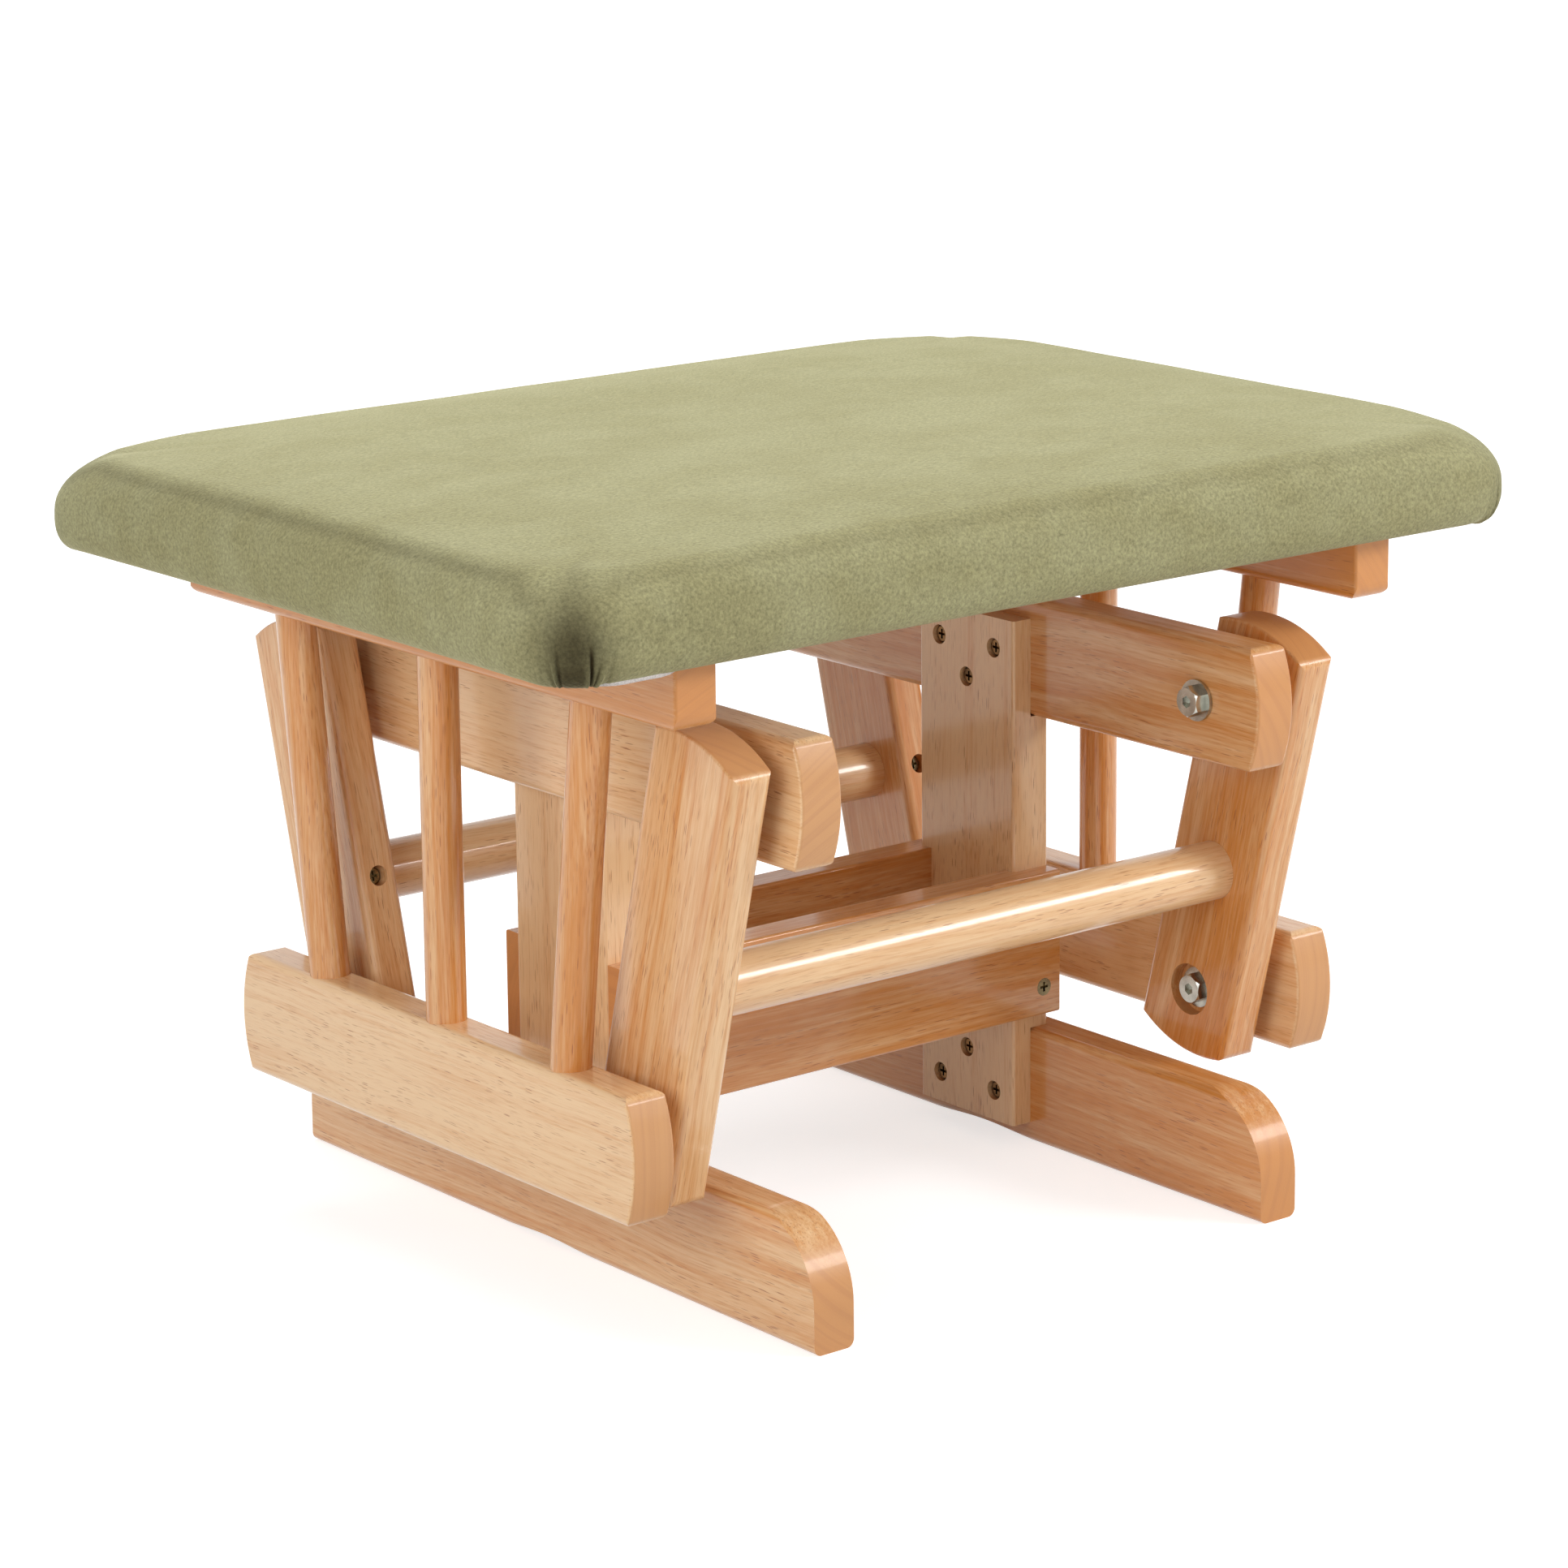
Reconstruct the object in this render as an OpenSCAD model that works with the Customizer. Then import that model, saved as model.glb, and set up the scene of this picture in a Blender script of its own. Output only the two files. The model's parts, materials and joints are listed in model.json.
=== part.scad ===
// Glider ottoman: a padded footrest that swings on four tilted links under a fixed base.
// Millimetres. +Z is up, the origin is on the floor under the middle of the cushion.
// The seat glides along Y, and its front is towards -Y. Left is -X and right is +X.

/* [Boards] */
// Thickness of every rail, post and link
board_t = 22; // [18:1:26]
// Width of the rails and links
board_w = 58; // [52:1:64]
// Radius of the eased long edges
edge_ease = 4; // [2:0.5:5]
// Radius of the eased edges of posts, stretchers and rounded ends
small_ease = 1.5; // [0.5:0.25:2.5]
// Radius of the arched ends of rails and links
arch_r = 68; // [60:1:120]
// Radius where an arched end turns into the long edges
end_corner_r = 5; // [3.5:0.5:8]
// Distance of the side frames' outer faces inside the cushion's edge
cushion_overhang = 78; // [66:1:90]
// Gap between neighbouring boards at a pivot
pivot_gap = 10; // [8:0.5:12]

/* [Base] */
// Length of the floor rails
floor_rail_l = 392; // [370:2:440]
// Radius of the floor rails' rounded upper ends
floor_rail_end_r = 38; // [20:1:46]
// Length of the relief under each floor rail
relief_l = 104; // [60:2:160]
// Height of the relief under each floor rail
relief_h = 3; // [1:0.5:5]
// Width of the posts, front to back
post_w = 69; // [60:1:80]
// Thickness of the post's tongue where a rail laps it
tongue_t = 11; // [9:0.5:13]
// Gap between the foot of a post and the floor
post_foot_gap = 10; // [4:1:16]
// Drop from the top of a hanger rail to the top of the post
post_top_drop = 10; // [4:1:16]
// Height of the hanger rails' underside
hanger_z = 213.5; // [205:0.5:222]
// Length of the hanger rails
hanger_l = 382; // [370:1:400]
// Height of the stretchers' underside
stretcher_z = 67; // [62:1:90]
// Width of the stretchers, bottom to top
stretcher_w = 71; // [56:1:80]
// Thickness of the stretchers
stretcher_t = 18; // [14:0.5:22]
// Depth of the notches that let the stretchers into the posts
notch_d = 8; // [4:0.5:10]
// Thickness of the wood left between a notch and the post's outer face
notch_wall_t = 6; // [4:0.5:8]
// How far the stretchers stop short of the posts' outer faces
stretcher_end_gap = 1; // [0:0.5:3]

/* [Links] */
// Distance of the upper pivots from the middle, front to back
upper_pivot_y = 151; // [146:0.5:156]
// Distance of the lower pivots from the middle, front to back
lower_pivot_y = 112.5; // [110:0.5:120]
// Reach of a link past its pivots
link_end = 31; // [28:0.5:36]
// Diameter of the cross bars
bar_d = 28; // [22:0.5:32]
// Height of the cross bars' axes
bar_z = 151; // [140:1:160]
// Depth of the bars' sockets in the links
bar_socket_d = 15; // [10:0.5:16]

/* [Seat frame] */
// Height of the lower rails' underside
lower_rail_z = 60; // [56:0.5:66]
// Length of the lower rails
lower_rail_l = 308; // [300:1:330]
// Height of the upper rails' underside
upper_rail_z = 285.5; // [284:0.5:300]
// Width of the upper rails, bottom to top
upper_rail_w = 29.5; // [26:0.5:36]
// Length of the upper rails
upper_rail_l = 376; // [350:1:400]
// Radius of the upper rails' lower corners
upper_rail_corner_r = 7; // [3:0.5:10]
// Diameter of the spindles
spindle_d = 18.5; // [14:0.5:20]
// Distance of an outer spindle's foot from the middle
spindle_foot_y = 94.5; // [80:0.5:98]
// Distance of an outer spindle's top from the middle
spindle_top_y = 114.5; // [100:0.5:130]
// Depth of the spindles' sockets
spindle_socket_d = 15; // [10:0.5:18]

/* [Cushion] */
// Width of the cushion
cushion_w = 572; // [500:2:620]
// Depth of the cushion, front to back
cushion_l = 420; // [404:2:470]
// Height of the cushion at its middle
cushion_h = 50; // [44:0.5:70]
// Rise of the crowned top from its edge to its middle
crown_h = 5; // [2:0.5:10]
// Corner radius of the cushion seen from above
cushion_corner_r = 42; // [30:1:60]
// Radius of the cushion's soft upper edge
top_edge_r = 18; // [10:0.5:22]
// Radius of the cushion's tucked lower edge
low_edge_r = 9; // [5:0.5:12]
// How far each side is drawn in between its corners
side_draw = 3; // [0:0.5:6]
// Thickness of the cover
cover_t = 1.6; // [1:0.1:2.5]
// Gap between the cover's hem and the outer faces of the upper rails
hem_gap = 25; // [10:1:40]
// Thickness of the seat board inside the cushion
seat_board_t = 12; // [9:0.5:15]
// Distance of the seat board's edge inside the cushion
seat_board_inset = 13; // [12:0.5:18]
// Thickness of the dust cover under the seat board
dust_cover_t = 0.8; // [0.5:0.1:1.5]
// Distance of the dust cover's edge inside the cushion
dust_cover_inset = 12; // [12:1:40]

/* [Pivot hardware] */
// Diameter of the pivot bolts
bolt_d = 8; // [6:0.5:9]
// Diameter of a bolt's flange
bolt_flange_d = 19.5; // [16:0.5:20]
// Thickness of a bolt's flange
bolt_flange_t = 1.6; // [1:0.1:2.5]
// Width of a bolt's hexagon across its flats
bolt_hex_w = 13; // [10:0.5:14]
// Height of a bolt's hexagon above the flange
bolt_hex_h = 5.4; // [4:0.1:7]
// Width across flats of the socket in a bolt's head
bolt_socket_w = 5; // [4:0.5:6]
// Depth of the socket in a bolt's head
bolt_socket_d = 3; // [2:0.1:4]
// Outer diameter of the bearing bushes
bush_d = 14; // [12:0.5:15]
// Diameter of a bush's flange
bush_flange_d = 18; // [16:0.5:20]
// Thickness of a bush's flange
bush_flange_t = 1.5; // [1:0.1:2]
// Outer diameter of the threaded inserts
insert_d = 12; // [10.5:0.5:13]
// Length of the threaded inserts
insert_l = 14; // [10:0.5:15]
// Diameter of the spacer rings
spacer_d = 20; // [20:0.5:24]
// Diameter of the counterbore at each lower pivot
pivot_bore_d = 25; // [22:0.5:28]
// Depth of the counterbore at each lower pivot
pivot_bore_depth = 7; // [5:0.5:9]

/* [Screws] */
// Shank diameter of the wood screws
screw_d = 4.2; // [3.5:0.1:5]
// Head diameter of the wood screws
screw_head_d = 8.6; // [7:0.1:9]
// Head height of the wood screws
screw_head_h = 2.8; // [2:0.1:3.5]
// Diameter of the counterbores over the screws
screw_bore_d = 9.6; // [9.2:0.1:11]
// Length of the screws that hold the rails to the posts
lap_screw_l = 22; // [18:0.5:25]
// Depth of the counterbores in the posts
lap_screw_depth = 4.5; // [3:0.5:6.5]
// Distance of the outer lap screws from the middle of the post
lap_screw_y = 20; // [14:0.5:24]
// Distance from the mid height of a lap to its two outer screws
lap_screw_outer_z = 9; // [6:0.5:14]
// Distance from the mid height of a lap to its middle screw
lap_screw_middle_z = 8.5; // [4:0.5:12]
// Length of the stretchers' screws
stretcher_screw_l = 38; // [30:0.5:40]
// Distance of the stretchers' screws from their upper and lower edges
stretcher_screw_edge = 14; // [9:0.5:20]
// Length of the screws that lock the cross bars
bar_screw_l = 24; // [20:0.5:30]
// Depth of the counterbores over the cross bars' screws
bar_screw_depth = 5; // [4:0.5:8]
// Length of the cushion's screws
cushion_screw_l = 30; // [28:0.5:30]
// Depth of the counterbores under the cushion's screws
cushion_screw_depth = 8; // [6:0.5:10]
// Distance of the cushion's screws from the middle, front to back
cushion_screw_y = 55; // [30:1:70]

/* [Clearances] */
// Radial slack of glued and driven round joints
seat_fit = 0.05; // [0.02:0.01:0.1]
// Radial running clearance of a bolt in its bush
run_fit = 0.05; // [0.02:0.01:0.1]
// Space between faces that turn past each other
turn_gap = 0.3; // [0.2:0.05:0.5]
// Space between soft pieces and what they touch
soft_gap = 0.3; // [0.2:0.05:0.5]
// Endways room for the open rear pivots at the ends of the travel
open_pivot_y = 3.7; // [3.6:0.1:5]
// Up and down room round the open rear pivots
open_pivot_z = 0.8; // [0.6:0.1:1.5]

/* [Hidden] */

$fn = 96;
LEFT = -1;
RIGHT = 1;
FRONT = -1;
REAR = 1;
MIDDLE = 0;

// Overrun of every cutter past the face that it opens
cut = 1;

// Straight pieces in the wave under a floor rail
relief_steps = 28;

// Width over the outer faces of the side frames
frame_w = cushion_w - 2 * cushion_overhang;

// Layers from the outside in, all measured on the right side
rail_in_x = frame_w / 2 - board_t;
rail_mid_x = frame_w / 2 - board_t / 2;
link_out_x = rail_in_x - pivot_gap;
link_in_x = link_out_x - board_t;
link_mid_x = link_out_x - board_t / 2;
hanger_out_x = link_in_x - pivot_gap;
hanger_in_x = hanger_out_x - board_t;
hanger_mid_x = hanger_out_x - board_t / 2;
post_in_x = hanger_in_x - tongue_t;
post_mid_x = post_in_x + board_t / 2;
post_out_x = post_in_x + board_t;

// The screws' cross recesses, as shares of the head they are cut into
recess_length_share = 0.56;
recess_width_share = 0.14;
recess_depth_share = 0.6;

// Heights
post_z0 = post_foot_gap;
post_z1 = hanger_z + board_w - post_top_drop;
upper_pivot_z = hanger_z + board_w / 2;
lower_pivot_z = lower_rail_z + board_w / 2;
lower_rail_top = lower_rail_z + board_w;
upper_rail_top = upper_rail_z + upper_rail_w;
link_rise = upper_pivot_z - lower_pivot_z;
link_lean = upper_pivot_y - lower_pivot_y;
link_tilt = atan2(link_lean, link_rise);
link_span = sqrt(link_rise * link_rise + link_lean * link_lean);
link_mid_y = (upper_pivot_y + lower_pivot_y) / 2;
link_mid_z = (upper_pivot_z + lower_pivot_z) / 2;
bar_up = (bar_z - link_mid_z) / cos(link_tilt);
bar_y = link_mid_y + bar_up * sin(link_tilt);
bar_l = 2 * (link_in_x + bar_socket_d - seat_fit);
stretcher_out_y = post_w / 2 - notch_d + stretcher_t;

// Layers of the cushion, upwards from the rails
dust_z = upper_rail_top + soft_gap;
hem_z = dust_z + dust_cover_t + soft_gap;
seat_board_z = hem_z + cover_t + soft_gap;
foam_z = seat_board_z + seat_board_t + soft_gap;
cushion_z = hem_z;
cushion_top = upper_rail_top + cushion_h;

// Colours
pale_wood = [0.88, 0.73, 0.52];
warm_wood = [0.80, 0.60, 0.40];
velour = [0.60, 0.58, 0.42];
dust_cloth = [0.86, 0.84, 0.80];
plywood = [0.78, 0.66, 0.48];
foam = [0.90, 0.86, 0.70];
zinc = [0.74, 0.75, 0.73];
bronzed_steel = [0.42, 0.38, 0.28];
brass = [0.76, 0.62, 0.32];
black_nylon = [0.10, 0.10, 0.10];

// A rectangle with true round corners, centred
module eased_rect(w, h, r)
{
    square([w - 2 * r, h], center = true);
    square([w, h - 2 * r], center = true);
    for (sx = [-1, 1], sy = [-1, 1])
        translate([sx * (w / 2 - r), sy * (h / 2 - r)])
            circle(r);
}

// Turns an outline drawn as (Y, Z) into a slab of thickness t across X
module across(t)
{
    rotate([90, 0, 90])
        linear_extrude(t, center = true)
            children();
}

// A straight board with eased long edges: length along Y, width along Z
module eased_plank(l, w, t)
{
    rotate([90, 0, 0])
        linear_extrude(l, center = true)
            eased_rect(t, w, edge_ease);
}

// A round slab about X with an eased rim
module eased_disc(r, t)
{
    rotate([0, 90, 0])
        rotate_extrude() {
            translate([0, -t / 2])
                square([r - small_ease, t]);
            translate([0, small_ease - t / 2])
                square([r, t - 2 * small_ease]);
            for (s = [-1, 1])
                translate([r - small_ease, s * (t / 2 - small_ease)])
                    circle(small_ease);
        }
}

// The outline of a board whose ends are arcs of arch_r with rounded corners
module arched_outline(l, w)
{
    arc_y = l / 2 - arch_r;
    corner_z = w / 2 - end_corner_r;
    corner_y = arc_y + sqrt(pow(arch_r - end_corner_r, 2) - pow(corner_z, 2));
    touch_z = arch_r * corner_z / (arch_r - end_corner_r);
    square([2 * corner_y, w], center = true);
    for (s = [-1, 1]) {
        intersection() {
            translate([s * arc_y, 0])
                circle(arch_r);
            square([l, 2 * touch_z], center = true);
        }
        for (sz = [-1, 1])
            translate([s * corner_y, sz * corner_z])
                circle(end_corner_r);
    }
}

// Everything up to the arched end of a board at +Y, with the arch's rim eased
module up_to_arch(l, t)
{
    translate([0, l / 2 - arch_r, 0])
        eased_disc(arch_r, t);
    translate([-t / 2 - cut, -l / 2 - cut, -arch_r])
        cube([t + 2 * cut, l - arch_r + cut, 2 * arch_r]);
}

// A board with arched ends and eased edges: length along Y, width along Z, centred
module arched_board(l, w, t)
{
    intersection() {
        across(t)
            arched_outline(l, w);
        eased_plank(l + 2 * cut, w, t);
        up_to_arch(l, t);
        mirror([0, 1, 0])
            up_to_arch(l, t);
    }
}

// Mirrors what is drawn on the right side to the side asked for
module on_side(side)
{
    mirror([side == LEFT ? 1 : 0, 0, 0])
        children();
}

// Mirrors what is drawn at the rear to the end asked for
module at_end(end)
{
    mirror([0, end == FRONT ? 1 : 0, 0])
        children();
}

// A round bar or cutter along +X that starts at x
module along_x(x, l, d)
{
    translate([x, 0, 0])
        rotate([0, 90, 0])
            cylinder(h = l, d = d);
}

module at_upper_pivot()
{
    translate([0, upper_pivot_y, upper_pivot_z])
        children();
}

module at_lower_pivot()
{
    translate([0, lower_pivot_y, lower_pivot_z])
        children();
}

// The link's own frame: Z up the link, Y away from the middle, origin midway between the pivots
module in_link_frame()
{
    translate([link_mid_x, link_mid_y, link_mid_z])
        rotate([-link_tilt, 0, 0])
            children();
}

// Cross-shaped driver recess, cut down from z = 0
module cross_recess(d, depth)
{
    arm_l = d * recess_length_share;
    arm_w = d * recess_width_share;
    translate([0, 0, -cut])
        linear_extrude(depth + cut) {
            square([arm_l, arm_w], center = true);
            square([arm_w, arm_l], center = true);
        }
}

// A wood screw along +Z: its head's top is at z = 0
module wood_screw(l, countersunk)
{
    tip_l = 2 * screw_d;
    rim_h = screw_head_h / 4;
    difference() {
        union() {
            if (countersunk) {
                cylinder(h = rim_h, d = screw_head_d);
                translate([0, 0, rim_h])
                    cylinder(h = screw_head_h - rim_h, d1 = screw_head_d, d2 = screw_d);
            } else {
                cylinder(h = rim_h, d1 = screw_head_d - 2 * rim_h, d2 = screw_head_d);
                translate([0, 0, rim_h])
                    cylinder(h = screw_head_h - rim_h, d = screw_head_d);
            }
            cylinder(h = l - tip_l, d = screw_d);
            translate([0, 0, l - tip_l])
                cylinder(h = tip_l, d1 = screw_d, d2 = screw_d / 4);
        }
        cross_recess(screw_head_d, screw_head_h * recess_depth_share);
    }
}

// The hole for that screw, with a counterbore of depth above its head
module screw_hole(l, countersunk, depth)
{
    hole_d = screw_d + 2 * seat_fit;
    head_hole_d = screw_head_d + 2 * seat_fit;
    rim_h = screw_head_h / 4;
    cylinder(h = l + seat_fit, d = hole_d);
    if (countersunk) {
        translate([0, 0, -cut])
            cylinder(h = rim_h + cut, d = head_hole_d);
        translate([0, 0, rim_h])
            cylinder(h = screw_head_h - rim_h, d1 = head_hole_d, d2 = hole_d);
    } else {
        translate([0, 0, -depth - cut])
            cylinder(h = depth + screw_head_h + cut, d = screw_bore_d);
    }
}

// Places a screw that is driven along +X, +Y, +Z, with its head's top at the origin
module driven_x()
{
    rotate([0, 90, 0])
        children();
}

module driven_y()
{
    rotate([-90, 0, 0])
        children();
}

// Places of the three screws of a lap; up is 1 where the pair is the upper row
module at_lap_screws(lap_mid_z, up)
{
    x = post_in_x + lap_screw_depth - screw_head_h;
    for (sy = [-1, 1])
        translate([x, sy * lap_screw_y, lap_mid_z + up * lap_screw_outer_z])
            driven_x()
                children();
    translate([x, 0, lap_mid_z - up * lap_screw_middle_z])
        driven_x()
            children();
}

hanger_lap_z = (hanger_z + post_z1) / 2;
floor_lap_z = (board_w + post_z0) / 2;

module at_hanger_lap_screws()
{
    at_lap_screws(hanger_lap_z, 1)
        children();
}

module at_floor_lap_screws()
{
    at_lap_screws(floor_lap_z, -1)
        children();
}

// Places of a stretcher's two screws at the right end of the rear stretcher, driven towards -Y
module at_stretcher_screws()
{
    for (z = [stretcher_z + stretcher_screw_edge, stretcher_z + stretcher_w - stretcher_screw_edge])
        translate([post_mid_x, stretcher_out_y, z])
            mirror([0, 1, 0])
                driven_y()
                    children();
}

// Place of the screw that locks the rear cross bar, driven away from the middle
module at_bar_screw()
{
    in_link_frame()
        translate([0, bar_screw_depth - board_w / 2, bar_up])
            driven_y()
                children();
}

// Places of the cushion's screws in the right rail, driven upwards
module at_cushion_screws()
{
    for (sy = [-1, 1])
        translate([rail_mid_x, sy * cushion_screw_y, upper_rail_z + cushion_screw_depth])
            children();
}

// Base

// The hollow under a floor rail: it rises and falls in one smooth wave
module relief_outline()
{
    wave = [
        for (i = [0:relief_steps])
            let (share = i / relief_steps)
                [relief_l * (share - 1 / 2), relief_h * (1 - cos(360 * share)) / 2]
    ];
    polygon(concat([[-relief_l / 2, -cut]], wave, [[relief_l / 2, -cut]]));
}

module floor_rail_body()
{
    half_l = floor_rail_l / 2;
    end_y = half_l - floor_rail_end_r;
    end_z = board_w - floor_rail_end_r;
    intersection() {
        across(board_t)
            difference() {
                union() {
                    translate([-end_y, 0])
                        square([2 * end_y, board_w]);
                    translate([-half_l, 0])
                        square([floor_rail_l, end_z]);
                    for (s = [-1, 1])
                        translate([s * end_y, end_z])
                            circle(floor_rail_end_r);
                }
                relief_outline();
            }
        translate([0, 0, board_w / 2])
            eased_plank(floor_rail_l + 2 * cut, board_w, board_t);
        for (s = [0, 1])
            mirror([0, s, 0])
                union() {
                    translate([0, end_y, end_z])
                        eased_disc(floor_rail_end_r, board_t);
                    translate([-board_t, -half_l - cut, -cut])
                        cube([2 * board_t, half_l + end_y + cut, board_w + 2 * cut]);
                    translate([-board_t, -half_l - cut, -cut])
                        cube([2 * board_t, floor_rail_l + 2 * cut, end_z + cut]);
                }
    }
}

module floor_rail(side)
{
    color(warm_wood)
        on_side(side)
            difference() {
                translate([hanger_mid_x, 0, 0])
                    floor_rail_body();
                at_floor_lap_screws()
                    screw_hole(lap_screw_l, false, 0);
            }
}

module post(side)
{
    lap_x = post_in_x + tongue_t;
    color(warm_wood)
        on_side(side)
            difference() {
                translate([post_mid_x, 0, post_z0])
                    linear_extrude(post_z1 - post_z0)
                        eased_rect(board_t, post_w, small_ease);
                translate([lap_x, -post_w / 2 - cut, hanger_z])
                    cube([board_t, post_w + 2 * cut, board_w]);
                translate([lap_x, -post_w / 2 - cut, -cut])
                    cube([board_t, post_w + 2 * cut, board_w + cut]);
                for (s = [0, 1])
                    mirror([0, s, 0]) {
                        translate([post_in_x - cut, post_w / 2 - notch_d, stretcher_z])
                            cube([board_t - notch_wall_t + cut, notch_d + cut, stretcher_w]);
                        at_stretcher_screws()
                            screw_hole(stretcher_screw_l, true, 0);
                    }
                at_hanger_lap_screws()
                    screw_hole(lap_screw_l, false, lap_screw_depth);
                at_floor_lap_screws()
                    screw_hole(lap_screw_l, false, lap_screw_depth);
            }
}

module hanger_rail(side)
{
    color(warm_wood)
        on_side(side)
            difference() {
                translate([hanger_mid_x, 0, hanger_z + board_w / 2])
                    arched_board(hanger_l, board_w, board_t);
                at_hanger_lap_screws()
                    screw_hole(lap_screw_l, false, 0);
                for (end = [FRONT, REAR])
                    at_end(end)
                        at_upper_pivot()
                            along_x(hanger_in_x - cut, board_t + 2 * cut, bush_d + 2 * seat_fit);
            }
}

module stretcher(end)
{
    color(warm_wood)
        at_end(end)
            difference() {
                translate([0, stretcher_out_y - stretcher_t / 2, stretcher_z + stretcher_w / 2])
                    rotate([90, 0, 90])
                        linear_extrude(2 * (post_out_x - stretcher_end_gap), center = true)
                            eased_rect(stretcher_t, stretcher_w, small_ease);
                for (side = [LEFT, RIGHT])
                    on_side(side) {
                        translate([post_out_x - notch_wall_t, post_w / 2 - notch_d - cut, stretcher_z - cut])
                            cube([notch_wall_t + cut, notch_d + cut, stretcher_w + 2 * cut]);
                        at_stretcher_screws()
                            screw_hole(stretcher_screw_l, true, 0);
                    }
            }
}

module hanger_rail_screws()
{
    color(bronzed_steel)
        for (side = [LEFT, RIGHT])
            on_side(side)
                at_hanger_lap_screws()
                    wood_screw(lap_screw_l, false);
}

module floor_rail_screws()
{
    color(bronzed_steel)
        for (side = [LEFT, RIGHT])
            on_side(side)
                at_floor_lap_screws()
                    wood_screw(lap_screw_l, false);
}

module stretcher_screws()
{
    color(bronzed_steel)
        for (side = [LEFT, RIGHT], end = [FRONT, REAR])
            on_side(side)
                at_end(end)
                    at_stretcher_screws()
                        wood_screw(stretcher_screw_l, true);
}

// Pivot hardware, drawn along +X

// A flanged bush: the body starts at x, and the flange is at its far end
module bush(x, l)
{
    difference() {
        union() {
            along_x(x, l, bush_d);
            along_x(x + l, bush_flange_t, bush_flange_d);
        }
        along_x(x - cut, l + bush_flange_t + 2 * cut, bolt_d + 2 * run_fit);
    }
}

// A flanged hexagon bolt whose flange bears on the face at x
module flange_bolt(x, l)
{
    head_x = x - bolt_flange_t - bolt_hex_h;
    hex_d = bolt_hex_w / cos(30);
    chamfer = (hex_d - bolt_hex_w) / 2;
    tip_l = bolt_d / 8;
    translate([head_x, 0, 0])
        rotate([0, 90, 0])
            difference() {
                union() {
                    intersection() {
                        cylinder(h = bolt_hex_h, d = hex_d, $fn = 6);
                        union() {
                            cylinder(h = chamfer, d1 = bolt_hex_w, d2 = hex_d);
                            translate([0, 0, chamfer])
                                cylinder(h = bolt_hex_h - chamfer, d = hex_d);
                        }
                    }
                    translate([0, 0, bolt_hex_h])
                        cylinder(h = bolt_flange_t, d = bolt_flange_d);
                    translate([0, 0, bolt_hex_h + bolt_flange_t])
                        cylinder(h = l - tip_l, d = bolt_d);
                    translate([0, 0, bolt_hex_h + bolt_flange_t + l - tip_l])
                        cylinder(h = tip_l, d1 = bolt_d, d2 = bolt_d - 2 * tip_l);
                }
                translate([0, 0, -cut])
                    cylinder(h = bolt_socket_d + cut, d = bolt_socket_w / cos(30), $fn = 6);
            }
}

// A plain ring with a hole for the bolt
module ring(x, l, d)
{
    difference() {
        along_x(x, l, d);
        along_x(x - cut, l + 2 * cut, bolt_d + 2 * run_fit);
    }
}

module upper_bush(side, end)
{
    color(black_nylon)
        on_side(side)
            at_end(end)
                at_upper_pivot()
                    bush(hanger_in_x, board_t);
}

module upper_bolts(end)
{
    bear_x = hanger_in_x - turn_gap;
    color(zinc)
        for (side = [LEFT, RIGHT])
            on_side(side)
                at_end(end)
                    at_upper_pivot()
                        flange_bolt(bear_x, link_in_x + insert_l - bolt_d / 8 - bear_x);
}

module upper_inserts(end)
{
    color(brass)
        for (side = [LEFT, RIGHT])
            on_side(side)
                at_end(end)
                    at_upper_pivot()
                        ring(link_in_x, insert_l, insert_d);
}

module upper_spacer(side, end)
{
    start_x = hanger_out_x + bush_flange_t + turn_gap;
    color(black_nylon)
        on_side(side)
            at_end(end)
                at_upper_pivot()
                    ring(start_x, link_in_x - start_x, spacer_d);
}

module lower_bush(side, end)
{
    start_x = link_in_x + pivot_bore_depth;
    color(black_nylon)
        on_side(side)
            at_end(end)
                at_lower_pivot()
                    bush(start_x, link_out_x - start_x);
}

module lower_bolts(end)
{
    bear_x = link_in_x + pivot_bore_depth - turn_gap;
    color(zinc)
        for (side = [LEFT, RIGHT])
            on_side(side)
                at_end(end)
                    at_lower_pivot()
                        flange_bolt(bear_x, rail_in_x + insert_l - bolt_d / 8 - bear_x);
}

module lower_inserts(end)
{
    color(brass)
        for (side = [LEFT, RIGHT])
            on_side(side)
                at_end(end)
                    at_lower_pivot()
                        ring(rail_in_x, insert_l, insert_d);
}

// The front spacers sit on the rail, and the rear ones stay with the link's bush
module lower_spacer(side, end)
{
    bush_x = link_out_x + bush_flange_t;
    start_x = end == FRONT ? bush_x + turn_gap : bush_x;
    end_x = end == FRONT ? rail_in_x : rail_in_x - turn_gap;
    color(black_nylon)
        on_side(side)
            at_end(end)
                at_lower_pivot()
                    ring(start_x, end_x - start_x, spacer_d);
}

// Links and cross bars

module link(side, end)
{
    color(pale_wood)
        on_side(side)
            at_end(end)
                difference() {
                    in_link_frame()
                        rotate([90, 0, 0])
                            arched_board(link_span + 2 * link_end, board_w, board_t);
                    at_upper_pivot()
                        along_x(link_in_x - cut, insert_l + seat_fit + cut, insert_d + 2 * seat_fit);
                    at_lower_pivot() {
                        along_x(link_in_x - cut, board_t + 2 * cut, bush_d + 2 * seat_fit);
                        along_x(link_in_x - cut, pivot_bore_depth + cut, pivot_bore_d);
                    }
                    translate([0, bar_y, bar_z])
                        along_x(link_in_x - cut, bar_socket_d + cut, bar_d + 2 * seat_fit);
                    at_bar_screw()
                        screw_hole(bar_screw_l, false, bar_screw_depth);
                }
}

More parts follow.
